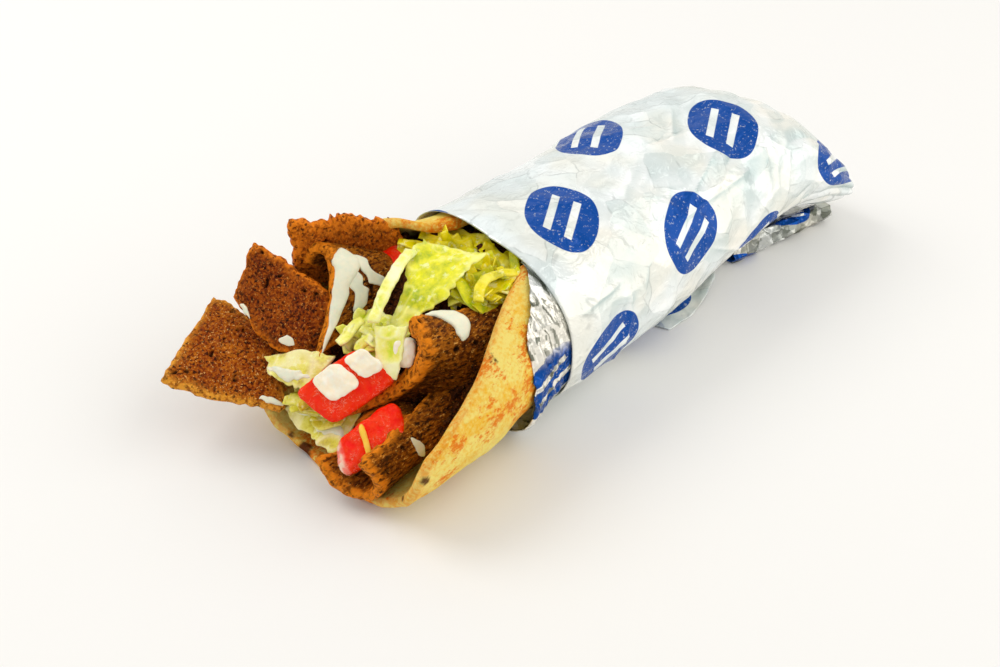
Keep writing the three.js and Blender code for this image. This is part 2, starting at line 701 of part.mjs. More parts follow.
const platter = new Platter();
platter.lay("foil_wrap", "foil", foilWrap());
platter.lay("pita_bread", "bread", pitaBread());
Object.entries(CUTS).forEach(([name, cut], i) => {
  platter.lay(name, materialOf(name), chunkSolid({ ...cutOn(cut), seed: 30 + i, stations: 6 }));
});
Object.entries(CHUNKS).forEach(([name, chunk], i) => {
  platter.lay(name, materialOf(name), chunkSolid({ ...chunk, seed: 40 + i }));
});
Object.entries(MEAT).forEach(([name, slice], i) => {
  platter.lay(name, "meat", sheetSolid({ ...slice, seed: 60 + i, cells: MEAT_CELLS }));
});
Object.entries(LETTUCE).forEach(([name, leaf], i) => {
  platter.lay(name, "lettuce", sheetSolid({ ...leaf, seed: 80 + i, cells: LEAF_CELLS }));
});
platter.lay("filling_heap", "filling", fillingHeap());

const roll = new THREE.Group();
platter.pieces.forEach((piece) => roll.add(meshOf(piece)));
const bounds = new THREE.Box3().setFromObject(roll);
const centre = bounds.getCenter(new THREE.Vector3());
roll.position.set(-centre.x, -centre.y, -bounds.min.z);

const sandwich = new THREE.Group();
sandwich.add(roll);

export default sandwich;
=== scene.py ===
"""The looks of a doner kebab sandwich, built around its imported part.

Lengths are in millimetres in the sandwich's own layout: x runs along the roll from the edge of the
foil's mouth (x = 0) to the folded end, y is to the left of that, and z is up from the table. Each
mesh goes to the part's frame, and to metres, when it is made.
"""

import logging
import math
from dataclasses import dataclass
from enum import Enum
from itertools import product
from typing import Iterable, Sequence

import bpy
import numpy as np
from mathutils import Matrix, Vector

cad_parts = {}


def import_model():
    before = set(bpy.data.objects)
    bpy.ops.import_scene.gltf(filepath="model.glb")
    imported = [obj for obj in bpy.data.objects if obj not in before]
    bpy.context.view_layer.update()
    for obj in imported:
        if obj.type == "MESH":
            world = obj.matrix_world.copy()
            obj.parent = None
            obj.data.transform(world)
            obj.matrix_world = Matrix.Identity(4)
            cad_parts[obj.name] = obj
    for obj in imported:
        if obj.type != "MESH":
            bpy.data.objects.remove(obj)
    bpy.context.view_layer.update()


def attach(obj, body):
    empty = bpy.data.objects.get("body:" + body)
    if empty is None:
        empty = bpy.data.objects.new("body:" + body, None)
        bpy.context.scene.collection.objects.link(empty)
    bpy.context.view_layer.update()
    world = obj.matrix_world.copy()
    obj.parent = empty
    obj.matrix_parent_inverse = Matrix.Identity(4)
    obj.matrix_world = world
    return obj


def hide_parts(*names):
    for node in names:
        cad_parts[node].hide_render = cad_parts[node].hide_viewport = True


Array = np.ndarray
Colour = tuple[float, float, float, float]
Point = tuple[float, float, float]
Material = bpy.types.Material
NodeTree = bpy.types.NodeTree
Socket = bpy.types.NodeSocket
Palette = dict[str, Material]

LOG = logging.getLogger("sandwich")
ROLL_ORIGIN = np.array([-34.478, -10.884, 0.0])  # where the mouth's middle lies in the part's frame
IMAGE_SIZE = (1000, 667)


# ---------------- small maths


def stack(*parts: Array | float) -> Array:
    """Joins numbers or arrays into one array of vectors."""
    return np.stack(np.broadcast_arrays(*parts), axis=-1)


def shares(columns: int, rows: int) -> tuple[Array, Array]:
    """Two grids of shares from 0 to 1, the first along the rows and the second down the columns."""
    return np.meshgrid(np.linspace(0, 1, columns), np.linspace(0, 1, rows))


def smooth(x: Array) -> Array:
    """Rises from 0 to 1 in an S, level at both ends, as x goes from 0 to 1."""
    held = np.clip(x, 0.0, 1.0)
    return held * held * (3.0 - 2.0 * held)


def bell(x: Array, middle: float, span: float) -> Array:
    """1 at the middle, falling away on both sides within the span."""
    return np.exp(-(((x - middle) / span) ** 2))


def mix(a: Array | float, b: Array | float, t: Array | float) -> Array:
    """The value that lies at share t of the way from a to b."""
    return a + (b - a) * t


def unit(vectors: Array) -> Array:
    """Each vector at length 1."""
    return vectors / np.maximum(np.linalg.norm(vectors, axis=-1, keepdims=True), 1e-9)


def srgb(red: int, green: int, blue: int) -> Colour:
    """A colour as the renderer takes it, from the 0 to 255 numbers of a screen colour."""
    linear = [((v / 255 + 0.055) / 1.055) ** 2.4 if v > 10 else v / 255 / 12.92 for v in (red, green, blue)]
    return (linear[0], linear[1], linear[2], 1.0)


def hashed(cells: Array, seed: int) -> Array:
    """A number from 0 to 1 for each whole-numbered cell.

    The cell's three numbers are each multiplied by a large odd number and added, and the bits of
    the sum are then scrambled twice.

    Args:
        cells: Whole numbers, three in the last axis.
        seed: Gives another set of numbers.

    Returns:
        One number for each cell.
    """
    bits = 0xFFFFFFFF
    mixed = cells[..., 0] * 374761393 + cells[..., 1] * 668265263 + cells[..., 2] * 1440662683
    mixed = (mixed + seed * 1274126177) & bits
    mixed = ((mixed ^ (mixed >> 13)) * 1274126177) & bits
    return ((mixed ^ (mixed >> 16)) & 0xFFFF) / 65535.0


def lumps(points: Array, size: float, seed: int) -> Array:
    """Smooth noise from -1 to 1, with one random value at each corner of a lattice.

    A point's value is the average of its cell's eight corners, each weighted by an S-curve of how
    near the point is to it.

    Args:
        points: Places in millimetres, three numbers in the last axis.
        size: The lattice's cell size.
        seed: Picks the pattern.

    Returns:
        One value for each point.
    """
    scaled = points / size
    base = np.floor(scaled).astype(np.int64)
    near = smooth(scaled - base)
    total = np.zeros(points.shape[:-1])
    for corner in product((0, 1), repeat=3):
        weight = np.prod(np.where(np.array(corner) == 1, near, 1.0 - near), axis=-1)
        total += weight * hashed(base + np.array(corner), seed)
    return total * 2.0 - 1.0


def fractal(points: Array, size: float, octaves: int, seed: int) -> Array:
    """Lumps of several sizes added up: each octave is half as large and half as strong."""
    total = sum(lumps(points, size / 2**i, seed + i) * 0.5**i for i in range(octaves))
    return total / (2.0 - 0.5 ** (octaves - 1))


def cell_distance(points: Array, size: float, seed: int) -> tuple[Array, Array]:
    """How far each point is from the nearest of many scattered spots, in cells.

    One spot lies at a random place in each cell of a lattice, and a point looks at the 27 spots of
    its own cell and the cells around it.

    Args:
        points: Places in millimetres, three numbers in the last axis.
        size: The lattice's cell size.
        seed: Picks the pattern.

    Returns:
        The distance to the nearest spot, and a random number that belongs to that spot.
    """
    scaled = points / size
    base = np.floor(scaled).astype(np.int64)
    nearest = np.full(points.shape[:-1], 9.0)
    owner = np.zeros(points.shape[:-1])
    for step in product((-1, 0, 1), repeat=3):
        cell = base + np.array(step)
        spot = cell + stack(*(hashed(cell, seed + i) for i in range(3)))
        distance = np.linalg.norm(spot - scaled, axis=-1)
        closer = distance < nearest
        nearest = np.where(closer, distance, nearest)
        owner = np.where(closer, hashed(cell, seed + 3), owner)
    return nearest, owner


def bezier(points: Sequence[Point], t: Array) -> Array:
    """Points of a curve with four control points: their sum, weighted by (1-t) and t cubed."""
    p, t = np.array(points, float), t[..., None]
    return (1 - t) ** 3 * p[0] + 3 * (1 - t) ** 2 * t * p[1] + 3 * (1 - t) * t**2 * p[2] + t**3 * p[3]


def curve_length(points: Sequence[Point]) -> float:
    """The length of such a curve, measured along 40 short straight steps."""
    steps = np.diff(bezier(points, np.linspace(0, 1, 41)), axis=0)
    return float(np.linalg.norm(steps, axis=-1).sum())


# ---------------- meshes


def border(grid: Array) -> Array:
    """The outer entries of a grid, once round, in the order in which they are met."""
    return np.concatenate([grid[0, :-1], grid[:-1, -1], grid[-1, :0:-1], grid[:0:-1, 0]])


def outward(grid: Array) -> Array:
    """For each point on a grid's border, the direction that leads straight off the grid.

    Args:
        grid: Points, rows by columns.

    Returns:
        A direction for each point of the border, once round.
    """
    away = np.zeros_like(grid)
    away[0] += unit(grid[0] - grid[1])
    away[-1] += unit(grid[-1] - grid[-2])
    away[:, 0] += unit(grid[:, 0] - grid[:, 1])
    away[:, -1] += unit(grid[:, -1] - grid[:, -2])
    return unit(border(away))


def cell_corners(grid: Array) -> list[Array]:
    """The entries at each of the four corners of every cell of a grid, in order round the cell."""
    return [grid[:-1, :-1], grid[:-1, 1:], grid[1:, 1:], grid[1:, :-1]]


class Skin:
    """A mesh while it is being built: points, four- and three-sided faces, and values on its points."""

    def __init__(self) -> None:
        """Starts empty."""
        self.points = np.zeros((0, 3))
        self.quads = np.zeros((0, 4), int)
        self.triangles = np.zeros((0, 3), int)
        self.quad_places: Array | None = None
        self.values: dict[str, Array] = {}

    def add_points(self, points: Array) -> Array:
        """Adds points and gives their numbers, in the shape of what came in.

        Args:
            points: Points in any shape of array.

        Returns:
            Their numbers in the skin.
        """
        start = len(self.points)
        self.points = np.concatenate([self.points, points.reshape(-1, 3)])
        return np.arange(start, len(self.points)).reshape(points.shape[:-1])

    def add_quads(self, a: Array, b: Array, c: Array, d: Array) -> None:
        """Adds one four-sided face for each set of corner numbers."""
        fresh = stack(*(corner.ravel() for corner in (a, b, c, d)))
        self.quads = np.concatenate([self.quads, fresh])

    def add_grid(self, index: Array, turned: bool = False) -> None:
        """Fills a grid of point numbers with faces; turned ones look the other way."""
        corners = cell_corners(index)
        self.add_quads(*(corners[::-1] if turned else corners))

    def add_fan(self, ring: Array, middle: Array) -> None:
        """Closes a ring with triangles to one new point.

        Args:
            ring: The ring's point numbers.
            middle: Where the new point lies.
        """
        centre = self.add_points(middle[None, :])[0]
        fan = stack(ring, np.roll(ring, -1), centre)
        self.triangles = np.concatenate([self.triangles, fan])

    def face_outward(self) -> None:
        """Turns every face round if the mesh encloses a negative volume."""
        p, q, t = self.points, self.quads, self.triangles
        triangles = np.concatenate([q[:, [0, 1, 2]], q[:, [0, 2, 3]], t])
        a, b, c = (p[triangles[:, i]] for i in range(3))
        if np.einsum("ij,ij->i", a, np.cross(b, c)).sum() < 0:
            self.quads = q[:, ::-1]
            self.triangles = t[:, ::-1]
            if self.quad_places is not None:
                self.quad_places = self.quad_places[:, ::-1]

    def normals(self) -> Array:
        """The direction each point faces: the sum of its faces' normals, larger faces counting more.

        Returns:
            One direction for each point.
        """
        p, q, t = self.points, self.quads, self.triangles
        total = np.zeros_like(p)
        face = np.cross(p[q[:, 2]] - p[q[:, 0]], p[q[:, 3]] - p[q[:, 1]])
        for i in range(4):
            np.add.at(total, q[:, i], face)
        if len(t):
            face = np.cross(p[t[:, 1]] - p[t[:, 0]], p[t[:, 2]] - p[t[:, 0]])
            for i in range(3):
                np.add.at(total, t[:, i], face)
        return unit(total)

    def push(self, height: Array) -> None:
        """Moves each point along its normal by a height."""
        self.points = self.points + self.normals() * height[:, None]

    def join(self, other: "Skin") -> None:
        """Takes in another skin's points, faces and values.

        Args:
            other: The skin to take in.
        """
        start = len(self.points)
        names = set(self.values) | set(other.values)
        for name in names:
            mine = self.values.get(name, np.zeros(start))
            theirs = other.values.get(name, np.zeros(len(other.points)))
            self.values[name] = np.concatenate([mine, theirs])
        self.points = np.concatenate([self.points, other.points])
        self.quads = np.concatenate([self.quads, other.quads + start])
        self.triangles = np.concatenate([self.triangles, other.triangles + start])

    def mesh(self, name: str) -> bpy.types.Mesh:
        """The finished Blender mesh, in metres in the part's frame, with its values as attributes.

        Args:
            name: The mesh's name.

        Returns:
            A smooth-shaded mesh.
        """
        mesh = bpy.data.meshes.new(name)
        placed = (self.points + ROLL_ORIGIN) / 1000.0
        mesh.from_pydata(placed.tolist(), [], self.quads.tolist() + self.triangles.tolist())
        for label, numbers in self.values.items():
            attribute = mesh.attributes.new(label, "FLOAT", "POINT")
            attribute.data.foreach_set("value", numbers.astype(np.float32))
        if self.quad_places is not None:
            corners = np.zeros((len(mesh.loops), 2), np.float32)
            corners[: 4 * len(self.quads)] = self.quad_places.reshape(-1, 2)
            layer = mesh.uv_layers.new(name="sheet")
            layer.data.foreach_set("uv", corners.ravel())
        mesh.shade_smooth()
        mesh.update()
        return mesh


def plate(front: Array, back: Array, rim_rows: int, bulge: float, edge: Array | None = None) -> Skin:
    """A closed plate between two grids of points of the same size.

    Its rim runs from the front's border to the back's in straight steps, and bulges outward as half
    a sine wave.

    Args:
        front: The front face's points, rows by columns.
        back: The back face's points.
        rim_rows: How many rows of faces the rim has.
        bulge: How far the rim stands out at its middle.
        edge: A value for each point of a face, 1 at the border, kept as the value "edge".

    Returns:
        The closed skin, facing outward.
    """
    skin = Skin()
    face, rear = skin.add_points(front), skin.add_points(back)
    skin.add_grid(face)
    skin.add_grid(rear, turned=True)
    away = outward((front + back) / 2)
    loops = [border(face)]
    for row in range(1, rim_rows):
        share = row / rim_rows
        middle = mix(border(front), border(back), share)
        loops.append(skin.add_points(middle + away * bulge * math.sin(math.pi * share)))
    loops.append(border(rear))
    for a, b in zip(loops[:-1], loops[1:]):
        skin.add_quads(np.roll(a, -1), a, b, np.roll(b, -1))
    on_faces = np.zeros(front.shape[:2]) if edge is None else edge
    rim_count = len(skin.points) - 2 * on_faces.size
    skin.values["edge"] = np.concatenate([on_faces.ravel(), on_faces.ravel(), np.ones(rim_count)])
    skin.face_outward()
    return skin


def tube(rings: Array, places: Array | None = None) -> Skin:
    """A closed skin through rings of points, drawn to a point at both ends.

    Args:
        rings: Points, rings by places round each ring.
        places: Flat coordinates on the sheet, with one more column than the rings have.

    Returns:
        The closed skin, facing outward.
    """
    skin = Skin()
    index = skin.add_points(rings)
    closed = np.concatenate([index, index[:, :1]], axis=1)
    skin.add_grid(closed)
    skin.add_fan(index[0][::-1], rings[0].mean(axis=0))
    skin.add_fan(index[-1], rings[-1].mean(axis=0))
    if places is not None:
        skin.quad_places = np.stack([c.reshape(-1, 2) for c in cell_corners(places)], axis=1)
    skin.face_outward()
    return skin


def disc_grid(cells: int) -> tuple[Array, Array]:
    """A square grid drawn onto a round disc: x times the root of 1 - y*y/2, and y likewise."""
    x, y = np.meshgrid(*[np.linspace(-1, 1, cells + 1)] * 2)
    return x * np.sqrt(1 - y * y / 2), y * np.sqrt(1 - x * x / 2)


def add_piece(name: str, skin: Skin, material: Material, slot: str, node: str | None = None) -> None:
    """Makes a skin into an object that rides on the sandwich, and reports it.

    Args:
        name: The object's name.
        skin: Its shape.
        material: Its finish.
        slot: A material slot's name; not used.
        node: The CAD node that it stands for, if any.
    """
    piece = bpy.data.objects.new(name, skin.mesh(name))
    piece.data.materials.append(material)
    bpy.context.scene.collection.objects.link(piece)
    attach(piece, "root")
    if node is not None:
        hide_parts(node)
    LOG.info("%s: %d points", name, len(skin.points))


# ---------------- shader trees


@dataclass(frozen=True)
class Grain:
    """Noise cut to a mask, which goes from its least to its most as the noise goes from low to high."""

    size: float
    low: float
    high: float
    most: float = 1.0
    least: float = 0.0
    detail: float = 3.0
    rough: float = 0.55
    bend: float = 0.0


class Tree:
    """Adds nodes to a material's or a group's tree and links or sets their inputs."""

    def __init__(self, tree: NodeTree) -> None:
        """Wraps a node tree."""
        self.tree = tree

    def add(self, kind: str, inputs: dict | None = None, **settings: object) -> bpy.types.Node:
        """Adds a node.

        Args:
            kind: The node's type.
            inputs: Each input's name or number, with a socket to link or a value to set.
            settings: The node's own properties.

        Returns:
            The new node.
        """
        node = self.tree.nodes.new(kind)
        for key, value in settings.items():
            setattr(node, key, value)
        for key, value in (inputs or {}).items():
            if isinstance(value, Socket):
                self.tree.links.new(value, node.inputs[key])
            else:
                node.inputs[key].default_value = value
        return node

    def math(self, operation: str, *values: object) -> Socket:
        """The result of a Math node on up to three sockets or numbers."""
        return self.add("ShaderNodeMath", dict(enumerate(values)), operation=operation).outputs[0]

    def product(self, first: object, second: object) -> Socket:
        """Two values multiplied."""
        return self.math("MULTIPLY", first, second)

    def remap(
        self, value: object, low: float, high: float, to_low: float = 0.0, to_high: float = 1.0
    ) -> Socket:
        """Stretches a value from one range to another in an S-curve, held at both ends."""
        inputs = {"Value": value, "From Min": low, "From Max": high, "To Min": to_low, "To Max": to_high}
        return self.add("ShaderNodeMapRange", inputs, interpolation_type="SMOOTHSTEP").outputs["Result"]

    def average(self, share: float, first: object, second: object) -> Socket:
        """A value that goes from the first to the second as the share goes from 0 to 1."""
        return self.add("ShaderNodeMix", {0: share, 2: first, 3: second}).outputs[0]

    def over(self, under: object, top: object, mask: object, share: object = 1.0) -> Socket:
        """A colour with another laid over it, as strongly as the mask times the share."""
        strength = mask if share == 1.0 else self.product(mask, share)
        return self.add("ShaderNodeMix", {0: strength, 6: under, 7: top}, data_type="RGBA").outputs[2]

    def ramp(self, value: object, stops: Sequence[tuple[float, Colour]]) -> Socket:
        """A colour that follows a value through several stops.

        Args:
            value: The value to follow.
            stops: Each stop's place from 0 to 1, and its colour.

        Returns:
            The colour.
        """
        node = self.add("ShaderNodeValToRGB", {"Fac": value})
        elements = node.color_ramp.elements
        while len(elements) < len(stops):
            elements.new(0.5)
        for element, (place, colour) in zip(elements, stops):
            element.position = place
            element.color = colour
        return node.outputs["Color"]

    def value(self, name: str) -> Socket:
        """A value that is stored on the mesh's points."""
        return self.add("ShaderNodeAttribute", attribute_name=name).outputs["Fac"]

    def millimetres(self, stretch: Point = (1.0, 1.0, 1.0)) -> Socket:
        """The place on the piece in millimetres, with each axis stretched.

        Args:
            stretch: A factor for each axis.

        Returns:
            The place.
        """
        where = self.add("ShaderNodeTexCoord").outputs["Object"]
        scale = tuple(1000.0 * s for s in stretch)
        return self.add("ShaderNodeMapping", {"Vector": where, "Scale": scale}).outputs[0]

    def noise(
        self, where: object, size: object, detail: float = 3.0, rough: float = 0.55, bend: float = 0.0
    ) -> Socket:
        """Cloudy noise from 0 to 1 whose lumps are about the given size in millimetres.

        Args:
            where: The place.
            size: The size of its lumps.
            detail: How many finer layers it has.
            rough: How strong the finer layers are.
            bend: How far it is swirled.

        Returns:
            The noise.
        """
        scale = self.math("DIVIDE", 1.0, size) if isinstance(size, Socket) else 1.0 / size
        inputs = {"Vector": where, "Scale": scale, "Detail": detail, "Roughness": rough, "Distortion": bend}
        return self.add("ShaderNodeTexNoise", inputs).outputs["Fac"]

    def mask(self, where: object, grain: Grain) -> Socket:
        """A mask of noise."""
        noise = self.noise(where, grain.size, grain.detail, grain.rough, grain.bend)
        return self.remap(noise, grain.low, grain.high, grain.least, grain.most)

    def cells(self, where: object, scale: object) -> tuple[Socket, Socket]:
        """How far a place is from its nearest scattered spot, and that spot's own random number."""
        spots = self.add("ShaderNodeTexVoronoi", {"Vector": where, "Scale": scale}, feature="F1").outputs
        return spots["Distance"], self.add("ShaderNodeSeparateColor", {0: spots["Color"]}).outputs[0]

    def bent(self, where: object, size: float, reach: float) -> Socket:
        """A place moved about by soft noise of the given size, by up to half the reach each way.

        Args:
            where: The place.
            size: The noise's size in millimetres.
            reach: How far it moves.

        Returns:
            The moved place.
        """
        noise = self.add("ShaderNodeTexNoise", {"Vector": where, "Scale": 1.0 / size}).outputs["Color"]
        inputs = {0: noise, 1: (reach, reach, reach), 2: where}
        return self.add("ShaderNodeVectorMath", inputs, operation="MULTIPLY_ADD").outputs[0]

    def bump(self, height: Socket) -> Socket:
        """The normal of a relief whose height is in millimetres."""
        inputs = {"Strength": 1.0, "Distance": 0.001, "Height": height}
        return self.add("ShaderNodeBump", inputs).outputs["Normal"]


@dataclass(frozen=True)
class PrintedMotif:
    """The sizes of the foil's printed motif, in millimetres on the sheet."""

    turn: float = 24.0
    column_pitch: float = 45.0
    row_pitch: float = 32.0
    stagger: float = 0.5
    half_width: float = 12.5
    half_height: float = 8.8
    roundness: float = 2.4
    rim_outside: float = 1.03
    rim_inside: float = 0.97
    bar_offset: float = 2.6
    bar_half_height: float = 1.05
    bar_half_length: float = 7.5
    soft_edge: float = 0.2


class Groups:
    """The effects that several finishes share, each built once."""

    VECTORS = ("Place", "Sheet", "Normal")

    def __init__(self) -> None:
        """Builds the groups."""
        self.mottle = self._mottle()
        self.spots = self._spots()
        self.relief = self._relief()
        self.print = self._print()

    def tone(self, tree: Tree, where: Socket, coarse: float, fine: float, fine_share: float) -> Socket:
        """Uneven tone in a tree, from clouds and grain of the given sizes in millimetres."""
        inputs = {"Place": where, "Coarse": coarse, "Fine": fine, "Fine Share": fine_share}
        return tree.add("ShaderNodeGroup", inputs, node_tree=self.mottle).outputs["Tone"]

    def normal(self, tree: Tree, where: Socket, size: float, height: float) -> Socket:
        """The normal of a fine uneven surface in a tree, with sizes in millimetres."""
        inputs = {"Place": where, "Size": size, "Height": height}
        return tree.add("ShaderNodeGroup", inputs, node_tree=self.relief).outputs["Normal"]

    def _start(self, name: str, inputs: Sequence[str], output: str) -> tuple[NodeTree, Tree, dict]:
        """A new group, whose sockets are vectors where VECTORS names them, and numbers elsewhere.

        Args:
            name: The group's name.
            inputs: The inputs' names.
            output: The output's name.

        Returns:
            The group, a builder for its tree, and its inputs by name.
        """
        group = bpy.data.node_groups.new(name, "ShaderNodeTree")
        for label in (*inputs, output):
            kind = "NodeSocketVector" if label in self.VECTORS else "NodeSocketFloat"
            direction = "OUTPUT" if label == output else "INPUT"
            group.interface.new_socket(label, in_out=direction, socket_type=kind)
        tree = Tree(group)
        return group, tree, tree.add("NodeGroupInput").outputs

    def _mottle(self) -> NodeTree:
        """Uneven tone: coarse clouds and fine grain, added and stretched to the full range.

        Returns:
            The group.
        """
        group, tree, given = self._start("mottle", ("Place", "Coarse", "Fine", "Fine Share"), "Tone")
        parts = [tree.noise(given["Place"], given[label], 4.0, 0.6) for label in ("Coarse", "Fine")]
        tone = tree.average(given["Fine Share"], *parts)
        tree.add("NodeGroupOutput", {"Tone": tree.remap(tone, 0.3, 0.7)})
        return group

    def _spots(self) -> NodeTree:
        """Scattered soft spots of uneven size, as toasting leaves: 1 inside a spot.

        Returns:
            The group.
        """
        group, tree, given = self._start("spots", ("Place", "Spacing", "Size", "Ragged"), "Mask")
        distance, share = tree.cells(given["Place"], tree.math("DIVIDE", 1.0, given["Spacing"]))
        wobble = tree.math("SUBTRACT", tree.noise(given["Place"], 1.1, 4.0), 0.5)
        near = tree.math("ADD", distance, tree.product(wobble, given["Ragged"]))
        reach = tree.product(given["Size"], tree.math("ADD", share, 0.15))
        depth = tree.math("SUBTRACT", reach, near)
        tree.add("NodeGroupOutput", {"Mask": tree.remap(depth, 0.0, 0.05)})
        return group

    def _relief(self) -> NodeTree:
        """A fine uneven surface: the normal of a bump made of noise.

        Returns:
            The group.
        """
        group, tree, given = self._start("relief", ("Place", "Size", "Height"), "Normal")
        height = tree.product(tree.noise(given["Place"], given["Size"], 5.0, 0.65), given["Height"])
        tree.add("NodeGroupOutput", {"Normal": tree.bump(height)})
        return group

    def _print(self) -> NodeTree:
        """The sheet's printed motif: rounded lozenges in staggered rows, each with two bare bars.

        The place on the sheet is turned, cut into cells, and every other row is moved by half a
        cell. A lozenge is where the sum of the two distances from the cell's middle, each over the
        lozenge's half size and raised to a power, is under 1.

        Returns:
            The group.
        """
        motif = PrintedMotif()
        group, tree, given = self._start("print", ("Sheet",), "Ink")
        turn = (0.0, 0.0, math.radians(motif.turn))
        turned = tree.add("ShaderNodeMapping", {"Vector": given["Sheet"], "Rotation": turn}).outputs[0]
        parts = tree.add("ShaderNodeSeparateXYZ", {0: turned}).outputs
        row = tree.math("DIVIDE", parts[1], motif.row_pitch)
        odd = tree.product(tree.math("MODULO", tree.math("FLOOR", row), 2.0), motif.stagger)
        column = tree.math("ADD", tree.math("DIVIDE", parts[0], motif.column_pitch), odd)
        away = []
        for cells, pitch in ((column, motif.column_pitch), (row, motif.row_pitch)):
            inside = tree.math("SUBTRACT", tree.math("FRACT", cells), 0.5)
            away.append(tree.math("ABSOLUTE", tree.product(inside, pitch)))
        reach = []
        for distance, half in zip(away, (motif.half_width, motif.half_height)):
            reach.append(tree.math("POWER", tree.math("DIVIDE", distance, half), motif.roundness))
        lozenge = tree.remap(tree.math("ADD", *reach), motif.rim_outside, motif.rim_inside)
        across, up = away
        bars = tree.math("ABSOLUTE", tree.math("SUBTRACT", up, motif.bar_offset))
        short = tree.math("LESS_THAN", across, motif.bar_half_length)
        half_bar = motif.bar_half_height
        bar = tree.product(tree.remap(bars, half_bar, half_bar - motif.soft_edge), short)
        tree.add("NodeGroupOutput", {"Ink": tree.product(lozenge, tree.math("SUBTRACT", 1.0, bar))})
        return group


# ---------------- finishes


@dataclass(frozen=True)
class Finish:
    """A finish that makes its own node material, which ends in one Principled shader."""

    name: str

    def inputs(self, tree: Tree, groups: Groups) -> dict[str, object]:
        """The shader's inputs, which each kind of finish works out in its own way."""
        raise NotImplementedError

    def build(self, groups: Groups) -> Material:
        """Makes the material.

        Args:
            groups: The shared effects.

        Returns:
            The finished material.
        """
        material = bpy.data.materials.new(self.name)
        material.use_nodes = True
        material.node_tree.nodes.clear()
        tree = Tree(material.node_tree)
        shader = tree.add("ShaderNodeBsdfPrincipled", self.inputs(tree, groups))
        tree.add("ShaderNodeOutputMaterial", {"Surface": shader.outputs[0]})
        return material


@dataclass(frozen=True)
class MeatFinish(Finish):
    """Pressed, grilled meat: brown grain with painted shade in its pits, and golden-orange cut edges."""

    dark: Colour = srgb(34, 4, 0)
    middle: Colour = srgb(140, 56, 0)
    light: Colour = srgb(198, 114, 20)
    edge: Colour = srgb(250, 172, 56)
    fleck: Colour = srgb(250, 196, 116)
    fleck_share: float = 0.8
    edge_share: float = 0.85
    # shares of painted shade: under curled slices, in small crevices and in pits
    underside_shade_share: float = 0.75
    crevice_shade_share: float = 0.75
    pit_shade_share: float = 0.9
    stretch: Point = (1.0, 1.0, 1.0)
    specks: Grain = Grain(0.7, 0.6, 0.66, rough=0.7)
    holes: Grain = Grain(1.1, 0.43, 0.37, 0.8, rough=0.6, bend=0.6)
    broken: Grain = Grain(1.4, 0.34, 0.56, least=0.2)
    wobble: Grain = Grain(0.8, 0.3, 0.7, 0.2, -0.2)
    gloss: Grain = Grain(2.2, 0.35, 0.65, 0.75, 0.36)

    def inputs(self, tree: Tree, groups: Groups) -> dict[str, object]:
        """Mottled brown, flecked with fat, browned along the edges, and with painted shade under curled
        slices and in the pits.

        Args:
            tree: The material's tree.
            groups: The shared effects.

        Returns:
            The shader's inputs.
        """
        where = tree.millimetres(self.stretch)
        tone = groups.tone(tree, where, 6.0, 0.8, 0.66)
        colour = tree.ramp(tone, [(0.0, self.dark), (0.34, self.middle), (1.0, self.light)])
        colour = tree.over(colour, self.fleck, tree.mask(where, self.specks), self.fleck_share)
        # painted shade in small holes
        colour = tree.over(colour, self.dark, tree.mask(where, self.holes))
        edge = tree.product(tree.value("edge"), self.edge_share)
        colour = tree.over(colour, self.edge, edge, tree.mask(where, self.broken))
        # painted shade in small crevices round scattered spots
        distance, own = tree.cells(where, 0.62)
        near = tree.math("ADD", distance, tree.mask(where, self.wobble))
        crevice_shade = tree.product(tree.remap(near, 0.3, 0.2), tree.math("GREATER_THAN", own, 0.5))
        # painted shade under curled slices, in crevices and in the pushed-in pits
        painted_shades = (
            (tree.value("char"), self.underside_shade_share),
            (crevice_shade, self.crevice_shade_share),
            (tree.value("pit"), self.pit_shade_share),
        )
        for mask, share in painted_shades:
            colour = tree.over(colour, self.dark, mask, share)
        normal = groups.normal(tree, where, 0.7, 0.6)
        shader = {"Base Color": colour, "Roughness": tree.mask(where, self.gloss), "Normal": normal}
        return {**shader, "Specular IOR Level": 0.09}


@dataclass(frozen=True)
class BreadFinish(Finish):
    """Toasted flatbread: cream crumb, golden patches, and small scorched spots."""

    crumb: Colour = srgb(232, 212, 114)
    golden: Colour = srgb(230, 172, 28)
    toasted: Colour = srgb(220, 112, 0)
    scorched: Colour = srgb(66, 16, 0)
    toast_share: float = 0.92
    burnt_share: float = 0.9
    scorch_share: float = 0.92
    lip: Grain = Grain(2.2, 0.35, 0.6, 0.5, 0.1, detail=4.0, rough=0.7)
    patches: Grain = Grain(10.0, 0.4, 0.62, 0.2)

    def inputs(self, tree: Tree, groups: Groups) -> dict[str, object]:
        """Four tones laid over each other, the darker ones where the bread touched the grill.

        Args:
            tree: The material's tree.
            groups: The shared effects.

        Returns:
            The shader's inputs.
        """
        where = tree.millimetres()
        tone = groups.tone(tree, where, 11.0, 1.1, 0.5)
        colour = tree.ramp(tone, [(0.3, self.crumb), (1.0, self.golden)])
        colour = tree.over(colour, self.toasted, tree.value("edge"), tree.mask(where, self.lip))
        brushed = tree.noise(tree.millimetres((0.5, 1.0, 1.0)), 1.1, 6.0, 0.8)
        toast = tree.remap(tree.math("ADD", brushed, tree.mask(where, self.patches)), 0.62, 0.73)
        colour = tree.over(colour, self.toasted, toast, self.toast_share)
        spots = {"Place": where, "Spacing": 24.0, "Size": 0.15, "Ragged": 0.16}
        burnt = tree.add("ShaderNodeGroup", spots, node_tree=groups.spots).outputs["Mask"]
        colour = tree.over(colour, self.scorched, burnt, self.burnt_share)
        colour = tree.over(colour, self.scorched, tree.value("scorch"), self.scorch_share)
        shader = {"Base Color": colour, "Roughness": 0.6, "Normal": groups.normal(tree, where, 1.8, 0.5)}
        shader.update({"Subsurface Weight": 0.1, "Subsurface Radius": (0.003, 0.0018, 0.0008)})
        return {**shader, "Specular IOR Level": 0.1}


